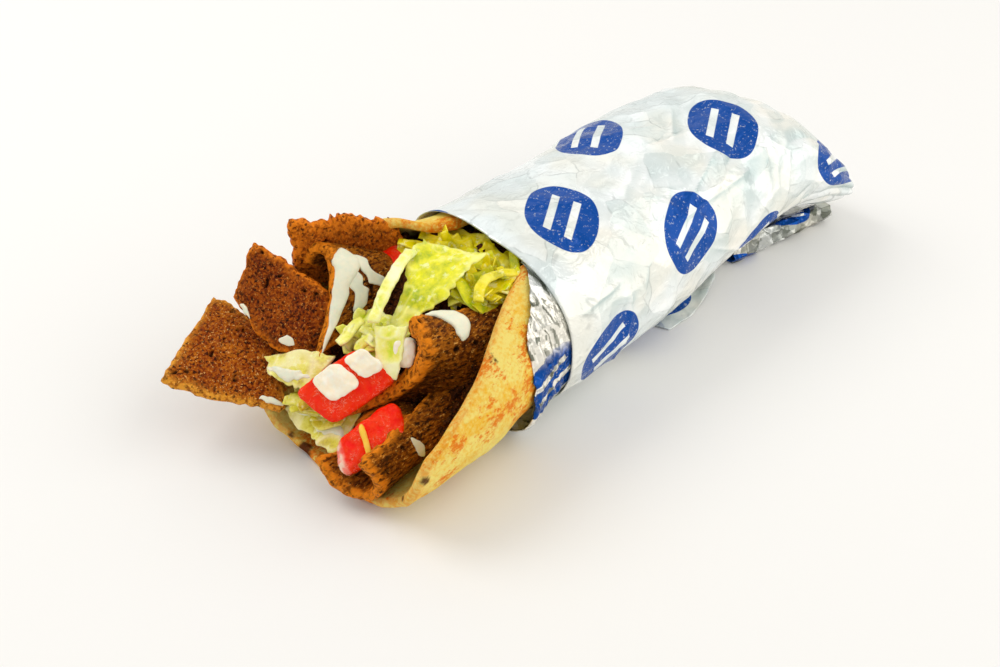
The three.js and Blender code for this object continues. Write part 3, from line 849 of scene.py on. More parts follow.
@dataclass(frozen=True)
class LeafFinish(Finish):
    """Lettuce: yellow-green leaf that pales towards its veins and edges."""

    leaf: Colour = srgb(206, 208, 0)
    fresh: Colour = srgb(238, 232, 20)
    pale: Colour = srgb(252, 248, 150)
    shade: Colour = srgb(136, 168, 0)
    # painted wet highlight
    wet_highlight: Colour = srgb(250, 252, 196)
    vein_share: float = 0.75
    edge_share: float = 0.35
    wet_highlight_patches: Grain = Grain(2.6, 0.56, 0.68, 0.55, rough=0.6)

    def inputs(self, tree: Tree, groups: Groups) -> dict[str, object]:
        """Tones from noise, with paler veins and edges and painted wet highlights in pale patches.

        Args:
            tree: The material's tree.
            groups: The shared effects.

        Returns:
            The shader's inputs.
        """
        where = tree.millimetres()
        tone = groups.tone(tree, where, 8.0, 2.2, 0.4)
        stops = [(0.0, self.shade), (0.35, self.leaf), (0.75, self.fresh), (1.0, self.pale)]
        colour = tree.over(tree.ramp(tone, stops), self.pale, tree.value("vein"), self.vein_share)
        colour = tree.over(colour, self.pale, tree.value("edge"), self.edge_share)
        # painted wet highlights in pale patches
        colour = tree.over(colour, self.wet_highlight, tree.mask(where, self.wet_highlight_patches))
        shader = {"Base Color": colour, "Roughness": 0.24, "Normal": groups.normal(tree, where, 1.2, 0.3)}
        shader.update({"Subsurface Weight": 0.3, "Subsurface Radius": (0.002, 0.0025, 0.0006)})
        return {**shader, "Specular IOR Level": 0.3}


@dataclass(frozen=True)
class WetFinish(Finish):
    """Moist food of one main colour: tomato, onion, cheese or sauce."""

    main: Colour
    second: Colour
    clouds: float = 4.0
    contrast: float = 0.5
    roughness: float = 0.2
    shine: float = 0.4
    bump: float = 0.15
    grain: float = 1.2
    glow: float = 0.2
    radius: Point = (0.003, 0.0015, 0.001)
    rim: Colour | None = None
    rim_share: float = 0.8
    flesh: Colour = srgb(252, 222, 196)
    line_share: float = 0.0
    line_patches: Grain = Grain(4.0, 0.46, 0.6)
    pale_patches: Grain = Grain(1.8, 0.35, 0.6, 0.9, 0.3)

    def inputs(self, tree: Tree, groups: Groups) -> dict[str, object]:
        """Two mottled tones under a wet gloss, with pale flesh lines where there are some.

        Args:
            tree: The material's tree.
            groups: The shared effects.

        Returns:
            The shader's inputs.
        """
        where = tree.millimetres()
        tone = groups.tone(tree, where, self.clouds, self.grain, 0.45)
        colour = tree.over(self.main, self.second, tone, self.contrast)
        if self.rim is not None:
            colour = tree.over(colour, self.rim, tree.value("edge"), self.rim_share)
        if self.line_share > 0:
            waves = tree.math("SUBTRACT", tree.noise(where, 2.2, 2.0, 0.5, 1.5), 0.5)
            lines = tree.remap(tree.math("ABSOLUTE", waves), 0.016, 0.004, 0.0, self.line_share)
            colour = tree.over(colour, self.flesh, lines, tree.mask(where, self.line_patches))
        colour = tree.over(colour, self.flesh, tree.value("pale"), tree.mask(where, self.pale_patches))
        normal = groups.normal(tree, where, self.grain, self.bump)
        shader = {"Base Color": colour, "Roughness": self.roughness, "Normal": normal}
        shader.update({"Subsurface Weight": self.glow, "Subsurface Radius": self.radius})
        return {**shader, "Specular IOR Level": self.shine}


@dataclass(frozen=True)
class FoilFinish(Finish):
    """Crumpled food foil with a blue printed motif, and painted shade and reflection for its pearly coat."""

    bare: Colour = srgb(253, 255, 254)
    # painted shade and reflection on the crumpled faces
    tint: Colour = srgb(182, 200, 198)
    warm: Colour = srgb(246, 236, 214)
    # painted shade along the creases
    crease_shade: Colour = srgb(120, 128, 126)
    ink: Colour = srgb(0, 72, 156)
    metal: float = 0.25
    crinkle: float = 0.7
    facet_share: float = 0.86
    fold_scale: float = 0.075
    fold_share: float = 0.3
    fold_slope: float = 2.4
    wrinkle: float = 0.7
    gloss: Grain = Grain(6.0, 0.35, 0.65, 0.26, 0.12)
    warmth: Grain = Grain(26.0, 0.42, 0.62, 0.55, detail=2.0)
    worn: Grain = Grain(1.1, 0.32, 0.42, 1.0, 0.5, detail=4.0, rough=0.7)
    creased: Grain = Grain(9.0, 0.48, 0.62, 0.3)

    def inputs(self, tree: Tree, groups: Groups) -> dict[str, object]:
        """Foil with painted shade and reflection on its crumpled faces and creases, ink with fine
        scratches where it is printed, and a fine crinkle.

        Args:
            tree: The material's tree.
            groups: The shared effects.

        Returns:
            The shader's inputs.
        """
        where = tree.millimetres()
        # tone of the crumpled faces: random clouds and cells, mixed with painted light and shade from how
        # each face leans against the key light
        facet = tree.average(self.facet_share, groups.tone(tree, where, 18.0, 5.0, 0.4), tree.value("facet"))
        bent = tree.bent(where, 16.0, 9.0)
        folds, own = tree.cells(bent, self.fold_scale)
        facet = tree.average(self.fold_share, facet, own)
        colour = tree.over(self.bare, self.warm, tree.mask(where, self.warmth))
        # the tint lays painted shade and reflection on the crumpled faces
        colour = tree.over(colour, self.tint, facet)
        # painted shade in thin lines along the fold cells' edges, where the creases run
        edges = {"Vector": bent, "Scale": self.fold_scale}
        rim = tree.add("ShaderNodeTexVoronoi", edges, feature="DISTANCE_TO_EDGE").outputs["Distance"]
        creases = tree.remap(rim, 0.03, 0.008)
        colour = tree.over(colour, self.crease_shade, creases, tree.mask(where, self.creased))
        sheet = tree.add("ShaderNodeUVMap", uv_map="sheet").outputs[0]
        ink = tree.add("ShaderNodeGroup", {"Sheet": sheet}, node_tree=groups.print).outputs["Ink"]
        ink = tree.product(ink, tree.mask(where, self.worn))
        colour = tree.over(colour, self.ink, ink, tree.value("printed"))
        wrinkles = tree.product(tree.noise(where, 4.0, 3.0, 0.5, 1.2), self.wrinkle)
        height = tree.math("ADD", tree.product(folds, self.fold_slope), wrinkles)
        normal = tree.bump(tree.product(height, self.crinkle))
        shader = {"Base Color": colour, "Roughness": tree.mask(where, self.gloss), "Normal": normal}
        return {**shader, "Metallic": self.metal, "Specular IOR Level": 0.2}


@dataclass(frozen=True)
class TableFinish(Finish):
    """A plain pale table top."""

    colour: Colour = srgb(236, 235, 232)
    cloud: Colour = srgb(238, 234, 226)
    cloud_share: float = 0.06

    def inputs(self, tree: Tree, groups: Groups) -> dict[str, object]:
        """A nearly even tone, with very faint clouds.

        Args:
            tree: The material's tree.
            groups: The shared effects.

        Returns:
            The shader's inputs.
        """
        tone = groups.tone(tree, tree.millimetres(), 160.0, 40.0, 0.3)
        colour = tree.over(self.colour, self.cloud, tone, self.cloud_share)
        return {"Base Color": colour, "Roughness": 0.6, "Specular IOR Level": 0.2}


FINISHES = {
    "table": TableFinish("pale_table"),
    "slab": MeatFinish("sliced_meat"),
    # a darker copy for the slices further back: browner meat, and painted shade
    "slab_browned_shaded": MeatFinish(
        "browned_shaded_meat", srgb(24, 3, 0), srgb(112, 40, 0), srgb(182, 92, 12), srgb(244, 136, 26),
        srgb(236, 168, 84), fleck_share=0.6,
    ),
    "crust": MeatFinish(
        "grilled_meat", srgb(26, 6, 0), srgb(106, 50, 2), srgb(190, 114, 22), srgb(246, 142, 26),
        srgb(240, 178, 88), stretch=(0.45, 1.0, 1.0),
    ),
    # a near-black copy for the filling, which stands for the deep shade between the pieces: painted shade
    "core": MeatFinish(
        "shadow_dark_filling", srgb(16, 5, 1), srgb(56, 24, 6), srgb(112, 58, 16), fleck_share=0.2,
        edge_share=0.0,
    ),
    "bread": BreadFinish("toasted_bread"),
    "leaf": LeafFinish("lettuce_leaf"),
    "leaf_pale": LeafFinish(
        "lettuce_pale", srgb(240, 236, 96), srgb(250, 246, 150), srgb(254, 252, 210), srgb(204, 222, 20),
    ),
    # an olive copy of the lettuce for the leaves deep in the mouth: painted shade
    "leaf_shaded": LeafFinish(
        "lettuce_olive_shaded", srgb(222, 206, 0), srgb(242, 222, 14), srgb(248, 238, 96), srgb(160, 156, 0),
    ),
    "leaf_sauced": LeafFinish(
        "lettuce_sauced", srgb(222, 212, 52), srgb(240, 230, 104), srgb(252, 242, 186), srgb(180, 146, 16),
    ),
    "tomato": WetFinish(
        "tomato_flesh", srgb(255, 10, 0), srgb(255, 84, 6), contrast=0.6, rim=srgb(255, 60, 0),
        roughness=0.1, shine=0.16, bump=1.0, grain=1.8, glow=0.05, line_share=0.36,
    ),
    "onion": WetFinish(
        "onion_flesh", srgb(255, 248, 230), srgb(252, 226, 182), contrast=0.6, roughness=0.13, glow=0.3,
        grain=2.0,
    ),
    "cheese": WetFinish("cheese", srgb(248, 192, 40), srgb(252, 220, 110), roughness=0.4),
    "sauce": WetFinish(
        "white_sauce", srgb(238, 232, 204), srgb(220, 226, 204), contrast=0.8, roughness=0.16, bump=0.3,
        grain=2.0,
    ),
    "foil": FoilFinish("printed_foil"),
    # the inside foil's dark tint stands for dark reflections in the shiny foil: painted reflection
    "foil_inside": FoilFinish(
        "bare_foil", bare=srgb(250, 252, 250), tint=srgb(70, 78, 56), metal=0.55, crinkle=1.1,
        facet_share=0.9, fold_scale=0.13, fold_share=0.12, gloss=Grain(6.0, 0.35, 0.65, 0.24, 0.1),
    ),
}


def build_palette() -> Palette:
    """Every finish's material by its use, all with the same shared groups."""
    groups = Groups()
    return {use: finish.build(groups) for use, finish in FINISHES.items()}


# ---------------- the roll


@dataclass(frozen=True)
class Roll:
    """The rolled sandwich's form: a rounded-square tube that ends in a wedge-like fold."""

    half_width: float = 35.7
    height: float = 53.4
    squareness: float = 2.3
    sink: float = 0.4
    wedge_start: float = 106.0
    wedge_end: float = 149.5
    edge_height: float = 10.0
    end_narrowing: float = 0.14
    end_skew: float = -0.19
    skew_start: float = 90.0
    left_taper: float = 0.1
    taper_start: float = 80.0
    taper_length: float = 60.0
    flare: float = 3.6
    flare_at: float = math.radians(130.0)
    flare_span: float = math.radians(34.0)
    flare_length: float = 16.0
    opening: float = 6.0
    opening_length: float = 11.0
    tuck: float = 9.0
    tuck_at: float = math.radians(-52.0)
    tuck_span: float = math.radians(30.0)
    tuck_start: float = 30.0
    tuck_rise: float = 80.0
    tuck_end: float = 150.0
    tuck_fade: float = 28.0

    def section(self, x: Array, inset: float) -> tuple[Array, Array, Array]:
        """The half width, top and bottom at x, drawn in by an inset.

        In the wedge, the share e of its length gives a half width that shrinks with e to the 4th, a
        top that falls as (1 - e^2.4)^0.8, and a bottom that lifts with e to the 6th.

        Args:
            x: Places along the roll.
            inset: How far in from the foil's outside.

        Returns:
            Three arrays, of the same shape as x.
        """
        end = np.clip((x - self.wedge_start) / (self.wedge_end - self.wedge_start), 0.0, 1.0)
        half = self.half_width * (1 - self.end_narrowing * end**4) - inset
        top = self.edge_height + (self.height - self.edge_height) * (1 - end**2.4) ** 0.8 - inset
        return half, top, self.edge_height * end**6 + inset

    def flare_out(self, x: Array) -> Array:
        """How far the upper left side stands out at x, inside the foil and past its mouth."""
        inside = self.flare * np.exp(-np.maximum(x, 0.0) / self.flare_length)
        return inside + np.where(x < 0, self.opening * smooth(-x / self.opening_length), 0.0)

    def tuck_in(self, x: Array) -> Array:
        """How far the lower right side is drawn in at x."""
        grown = smooth((x - self.tuck_start) / self.tuck_rise)
        return self.tuck * grown * smooth((self.tuck_end - x) / self.tuck_fade)

    def at(
        self, x: Array, turn: Array, inset: Array | float,
        widen: Array | float = 0.0, push: Array | float = 0.0,
    ) -> Array:
        """Points of the roll at x and at an angle round it: 0 is straight down, + is toward +y.

        The section is a rounded square: the reach at an angle is the sum of the sine and cosine,
        each raised to a power, to the power's negative inverse. Points stay above the table.

        Args:
            x: Places along the roll.
            turn: Angles in radians.
            inset: How far in from the foil's outside.
            widen: How much wider the section is on each side.
            push: How far the points stand out from it.

        Returns:
            The points.
        """
        half, top, bottom = self.section(x, inset)
        s, c = np.sin(turn), np.cos(turn)
        n = self.squareness
        reach = (np.abs(s) ** n + np.abs(c) ** n) ** (-1 / n)
        flared = self.flare_out(x) * bell(turn, self.flare_at, self.flare_span)
        out = flared - self.tuck_in(x) * bell(turn, self.tuck_at, self.tuck_span) + push
        taper = np.where(s > 0, 1 - self.left_taper * smooth((x - self.taper_start) / self.taper_length), 1.0)
        y = (half + widen) * taper * reach * s + out * s
        z = (top + bottom) / 2 - (top - bottom) / 2 * reach * c - out * c - self.sink
        skew = self.end_skew * y * smooth((x - self.skew_start) / (self.wedge_end - self.skew_start))
        return stack(x + skew, y, np.maximum(inset, z))


ROLL = Roll()


@dataclass
class FoilWrap:
    """The printed foil: the tube round the bread, its inner turn, and the loose foil under it."""

    wall: float = 0.45
    deep_wall: float = 1.4
    mouth_top: float = 3.5
    mouth_side: float = 0.5
    mouth_left: float = 3.0
    last_station: float = 0.985
    around: int = 400
    along: int = 210
    inner_rows: int = 10
    cap_rows: int = 12
    crease_count: int = 46
    half_round: float = 78.5
    turn_span: tuple[float, float] = (-158.0, -28.0)
    turn_end: float = 20.0
    fold_span: tuple[float, float] = (102.5, 146.0)
    corner_start: float = -7.0
    turn_wall: tuple[float, float] = (0.75, 1.05)
    corner_wall: float = 0.2
    clear: float = 0.25
    corner: Sequence[tuple[float, float]] = (
        (57, -20), (59.5, -27), (70, -27.5), (80, -25.5), (90, -21.5), (98, -15),
    )
    fold: Sequence[tuple[float, float]] = (
        (-7, 0.3), (-14, 0.3), (-20, 0.6), (-21.5, 3.0), (-20.5, 6.6), (-18, 7.6), (-15, 5.0), (-11.5, 2.4),
    )
    fold_slope: float = -0.167

    def crumple(self, x: Array, arc: Array, turn: Array) -> Array:
        """How far the crumpled foil stands out from the smooth roll.

        Dents are the distance to scattered spots, which leaves sharp ridges between them. Creases
        are straight ridges with a sharp top, which fade toward both ends, and near the closed end
        pleats run together. Everything fades out where the foil lies on the table.

        Args:
            x: Places along the roll.
            arc: Places round it, as lengths.
            turn: The same places as angles.

        Returns:
            Heights in millimetres.
        """
        flat = stack(x, arc, 0.0)
        bent = flat + 40.0 + 4.0 * lumps(flat, 14.0, 7)[..., None]
        large, _ = cell_distance(bent * np.array([0.7, 1.0, 1.0]), 21.0, 3)
        small, _ = cell_distance(bent, 8.5, 5)
        dents = 2.6 * (large - 0.5) + 1.25 * (small - 0.45) + 0.5 * lumps(flat, 34.0, 9)
        draw = np.random.default_rng(17)
        ridges = np.zeros_like(x)
        for _ in range(self.crease_count):
            start = np.array([draw.uniform(4, 130), draw.uniform(-80, 80)])
            heading = draw.normal(0.0, 0.7)
            length = draw.uniform(12, 50)
            along = (x - start[0]) * math.cos(heading) + (arc - start[1]) * math.sin(heading)
            beside = (arc - start[1]) * math.cos(heading) - (x - start[0]) * math.sin(heading)
            fade = smooth(along / 8 + 0.5) * smooth((length - along) / 10)
            sharp = np.exp(-np.abs(beside) / draw.uniform(0.6, 2.2))
            ridges += draw.uniform(-1.2, 1.5) * sharp * fade
        end = smooth((x - 108) / 34)
        pleats = 1.7 * (np.abs(np.sin(arc * 0.32 + 1.4 * lumps(flat, 12.0, 10))) - 0.6) * end
        free = smooth((np.abs(turn) - math.radians(24)) / math.radians(30))
        near_mouth = 0.3 + 0.7 * smooth(x / 26)
        return np.maximum((dents + ridges + pleats) * free * near_mouth * 0.8, 0.2 - self.deep_wall)

    def painted_facet_light(self, x: Array, arc: Array, turn: Array) -> Array:
        """Painted light and shade for the crumpled faces, from 0 where a face leans one way to 1 the other.

        It follows the slope of the crumple along the roll and round it, weighed against the key light's
        direction, so that the painted shade changes sharply at every ridge, as light on a pearly sheet does.

        Args:
            x: Places along the roll.
            arc: Places round it, as lengths.
            turn: The same places as angles.

        Returns:
            Tones from 0 to 1.
        """
        step = 0.35
        along = (self.crumple(x + step, arc, turn) - self.crumple(x - step, arc, turn)) / (2 * step)
        across = (self.crumple(x, arc + step, turn) - self.crumple(x, arc - step, turn)) / (2 * step)
        lean = 0.3 * along - (0.57 * np.cos(turn) + 0.77 * np.sin(turn)) * across
        return np.clip(0.3 - 1.9 * lean, 0, 1)

    def tube_skin(self) -> Skin:
        """The tube: an inner cap and wall, the mouth's rim, the crumpled outer wall and its folded cap.

        Returns:
            The closed skin, with the sheet's flat coordinates, where it is printed, and its painted shade.
        """
        arc = np.linspace(-self.half_round, self.half_round, self.around + 1)
        turn = arc / self.half_round * math.pi
        turn = np.where(turn < 0, turn + math.pi, turn - math.pi)
        raised = mix(self.mouth_side, self.mouth_top, (1 - np.cos(turn)) / 2)
        mouth = raised + self.mouth_left * np.maximum(0, np.sin(turn))
        last = ROLL.wedge_end * self.last_station
        rows = []
        places = []
        # the inside wall, seen in the mouth, gets mostly painted shade
        facets = [0.9 * np.ones_like(turn)] * self.inner_rows
        for share in np.linspace(1.0, 0.0, self.inner_rows):
            x = mix(mouth, last - 1.0, share)
            rows.append(ROLL.at(x, turn, mix(self.wall, self.deep_wall, smooth(share * 6))))
            places.append(stack(x, arc))
        for share in np.linspace(0.0, 1.0, self.along) ** 0.9:
            x = mix(mouth, last, share)
            lift = self.crumple(x, arc, turn)
            rows.append(ROLL.at(x, turn, 0.0, 0.0, lift * smooth((149.0 - x) / 6.0)))
            # painted light and shade from how the crumple leans against the key light
            facets.append(self.painted_facet_light(x, arc, turn))
            places.append(stack(x, arc))
        ring = rows[-1]
        middle = ring.mean(axis=0)
        for row in range(1, self.cap_rows + 1):
            share = row / (self.cap_rows + 1)
            shrunk = mix(ring, middle, share)
            pleat = 0.9 * np.abs(np.sin(shrunk[:, 2] * 0.9)) + 0.35 * lumps(shrunk, 4.0, 12)
            shrunk[:, 0] += 1.6 * (1 - (1 - share) ** 2) + pleat * smooth(share * 4)
            rows.append(shrunk)
            places.append(stack(last + 5.0 * share, arc))
            facets.append(0.5 + 0.5 * lumps(shrunk, 3.0, 13))
        skin = tube(np.stack(rows)[:, :-1], np.stack(places))
        printed = np.ones((len(rows), self.around))
        printed[: self.inner_rows] = 0.0
        skin.values["printed"] = np.concatenate([printed.ravel(), [0.0, 0.0]])
        skin.values["facet"] = np.concatenate([np.stack(facets)[:, :-1].ravel(), [0.5, 0.5]])
        return skin

    def inner_turn_skin(self) -> Skin:
        """The foil's inner turn: a band that shows past the mouth and hangs away from the bread.

        Returns:
            The band, with its flat coordinates, its bare and printed parts and its painted dark reflections.
        """
        u, v = shares(240, 80)
        turn = mix(*self.turn_span, u)
        edge = -13.5 + 16.5 * smooth((np.abs(turn) - 115) / 43)
        x = mix(edge + 0.6 * lumps(stack(turn * 0.6, v, v), 4.0, 2) * (1 - v), self.turn_end, v)
        loose = 4.0 * bell(turn, -45.0, 28.0) * smooth(-x / 12)
        arc = np.radians(turn) / math.pi * self.half_round
        flat = stack(x, arc, 0.0)
        bent = flat * np.array([1.0, 0.3, 1.0]) + 60.0 + 0.9 * lumps(flat, 3.0, 14)[..., None]
        ridge, _ = cell_distance(bent, 3.0, 15)
        fine, tone = cell_distance(bent, 1.1, 18)
        crumple = (1.5 * (ridge - 0.5) + 0.5 * (fine - 0.5)) * smooth((3.0 - x) / 6.0)
        faces = (ROLL.at(x, np.radians(turn), wall, 0.0, loose + crumple) for wall in self.turn_wall)
        low = smooth((turn + 112.0) / 14.0)
        # painted dark reflections in long narrow patches on the shiny inner turn
        clouds = 0.5 + 0.5 * lumps(flat * np.array([1.0, 0.5, 1.0]), 6.0, 16)
        dark_reflections = smooth((tone * (0.55 + 0.7 * clouds) - 0.5) / 0.25)
        return self._thin(*faces, stack(x + 33.0, arc + 42.5), low, dark_reflections)

    def corner_skin(self) -> Skin:
        """The loose printed corner: a thin sheet that lies almost flat on the table under the roll.

        Returns:
            The closed sheet, printed all over.
        """
        outline = np.array(self.corner, float)
        u, v = shares(110, 50)
        x = mix(outline[0, 0], outline[-1, 0], u)
        reach = np.interp(x, outline[:, 0], outline[:, 1])
        y = mix(self.corner_start, reach, v)
        flat = stack(x, y, 0.0)
        ridge, _ = cell_distance(flat + 30.0, 6.0, 19)
        curl = 1.6 * smooth((v - 0.72) * 4) * smooth((u - 0.35) * 3)
        lift = 0.1 + 0.75 * smooth(v * 2.2) * ridge + curl
        front = stack(x, y, lift + self.clear)
        back = front - np.array([0.0, 0.0, self.corner_wall])
        # the ridge pattern is laid on as painted shade that follows the raised ridges
        return self._thin(front, back, stack(x * 0.9 + 8.0, y * 1.1 + 3.0), np.ones_like(x), ridge)

    def under_fold_skin(self) -> Skin:
        """The crumpled fold under the far end: a pleated sheet that stands up from the table and turns in.

        Its cross-section goes out along the table, up its outer side and back in under the roll.

        Returns:
            The closed sheet, with random tones on its crumpled faces, laid on as painted dark reflections.
        """
        u, v = shares(150, 90)
        x = mix(*self.fold_span, u)
        stations = np.linspace(0, 1, len(self.fold))
        section = np.array(self.fold, float)
        y = np.interp(v, stations, section[:, 0]) + self.fold_slope * (x - 103.0)
        z = np.interp(v, stations, section[:, 1])
        flat = stack(x, v * 30.0, 0.0)
        ridge, tone = cell_distance(flat + 90.0 + 1.5 * lumps(flat, 4.0, 27)[..., None], 5.5, 25)
        pleat = np.abs(np.sin(x * 0.55 + 1.2 * lumps(flat, 7.0, 28)))
        crumple = (1.5 * (ridge - 0.6) + 1.1 * (pleat - 0.6)) * smooth(v * 5) * smooth((1 - v) * 6)
        front = stack(x + crumple * 0.3, y - crumple, np.maximum(z + crumple * 0.5, self.clear))
        turned = v * math.pi
        inner = stack(0.0, 0.3 * np.sin(turned), 0.2 * np.cos(turned))
        back = front + inner
        back[..., 2] = np.maximum(back[..., 2], 0.05)
        return self._thin(front, back, stack(x * 1.3, v * 34.0 + 20.0), np.ones_like(x), tone)

    @staticmethod
    def _thin(front: Array, back: Array, places: Array, printed: Array, facet: Array) -> Skin:
        """A thin sheet with its flat coordinates, where it is printed, and its tones.

        Args:
            front: The front face's points, rows by columns.
            back: The back face's points.
            places: Flat coordinates of one face's points.
            printed: 1 where the motif shows.
            facet: Tones from 0 to 1, laid on by the finish as painted shade and reflection.

        Returns:
            The closed skin.
        """
        skin = plate(front, back, 1, 0.0)
        rest = len(skin.points) - 2 * printed.size
        flat = places.reshape(-1, 2)
        skin.quad_places = np.concatenate([flat, flat, np.zeros((rest, 2))])[skin.quads]
        for label, numbers in (("printed", printed), ("facet", facet)):
            skin.values[label] = np.concatenate([numbers.ravel(), numbers.ravel(), np.zeros(rest)])
        return skin

    def build(self, palette: Palette) -> None:
        """Makes the foil's four pieces.

        Args:
            palette: The materials by their use.
        """
        add_piece("foil_tube", self.tube_skin(), palette["foil"], "foil", "foil_wrap")
        add_piece("foil_inner_turn", self.inner_turn_skin(), palette["foil_inside"], "foil")
        add_piece("foil_corner", self.corner_skin(), palette["foil"], "foil")
        add_piece("foil_under_fold", self.under_fold_skin(), palette["foil_inside"], "foil")


@dataclass
class Flatbread:
    """The bread: an open-topped trough in the foil whose lip runs forward at the bottom."""

    inset: float = 1.95
    thick: float = 3.1
    seam_left: float = 154.0
    seam_right: float = -156.0
    lip: float = -61.5
    rise_left: float = 60.0
    rise_right: float = 76.0
    back: float = 126.0
    spread_left: float = 3.0
    spread_right: float = 4.0
    sag: float = 2.3
    around: int = 190
    along: int = 170
    pitch: float = 0.6
    front_edge: float = 22.0
    scorches: Sequence[tuple[float, float, float, float]] = (
        (-61.4, 13, 2, 2.6), (-61.7, 18.7, 4.7, 0.9), (-60, -37.7, 22.7, 1.5), (-61.8, -30, 12, 1.0),
        (-62, 2, 0.5, 1.2),
    )

    def lip_at(self, turn: Array) -> Array:
        """Where the lip is at an angle: far forward at the bottom, back at the mouth on top.

        Args:
            turn: Angles in degrees, 0 at the bottom.

        Returns:
            Places along the roll.
        """
        start = np.where(turn > 0, self.rise_left, self.rise_right)
        finish = np.where(turn > 0, self.seam_left, -self.seam_right)
        climb = np.clip((np.abs(turn) - start) / (finish - start), 0.0, 1.0)
        return self.lip + (FoilWrap.mouth_top - self.lip) * climb**1.5

    def face(self, u: Array, v: Array, depth: float) -> Array:
        """One face of the bread at a depth below the foil's outside.

        Past the mouth the bread widens, wobbles and sags to the table, and it has low blisters.

        Args:
            u: Shares of the way round.
            v: Shares of the way back from the lip.
            depth: How far in from the foil's outside.

        Returns:
            The points.
        """
        turn = mix(self.seam_right, self.seam_left, u)
        around = stack(turn * self.pitch, 0.0, 0.0)
        lip = self.lip_at(turn) + 1.3 * lumps(around, 14.0, 31) + 0.5 * lumps(around, 4.0, 32)
        x = mix(lip, self.back, v**1.5)
        loose = smooth((-4.0 - x) / 24)
        opened = np.where(turn > 0, self.spread_left, self.spread_right) * smooth((-8.0 - x) / 26)
        flat = stack(x, turn * self.pitch, 0.0)
        wobble = 0.5 * lumps(flat, 16.0, 33) * loose
        blister = 0.3 * lumps(flat, 6.0, 34) + 0.12 * lumps(flat, 2.5, 35)
        points = ROLL.at(x, np.radians(turn), depth, opened + wobble, blister * smooth((6.0 - x) / 8))
        points[..., 2] -= self.sag * loose * np.maximum(0, np.cos(np.radians(turn)))
        points[..., 2] = np.maximum(points[..., 2], 0.05 + depth - self.inset)
        return points

    def build(self, palette: Palette) -> None:
        """Makes the bread, with its scorched spots near the lip.

        Args:
            palette: The materials by their use.
        """
        u, v = shares(self.around, self.along)
        front = self.face(u, v, self.inset)
        back = self.face(u, v, self.inset + self.thick)
        skin = plate(front, back, 7, 1.1, edge=np.exp(-v * self.front_edge))
        ragged = 0.7 * lumps(skin.points, 1.6, 42)
        depths = [
            radius + ragged - np.linalg.norm(skin.points - np.array((x, y, z)), axis=-1)
            for x, y, z, radius in self.scorches
        ]
        skin.values["scorch"] = smooth(np.max(depths, axis=0) / 0.8 + 0.3)
        add_piece("flatbread", skin, palette["bread"], "bread", "pita_bread")


# ---------------- slices and leaves


class Side(Enum):
    """The two faces of a slice or leaf."""

    FRONT = 1
    BACK = -1


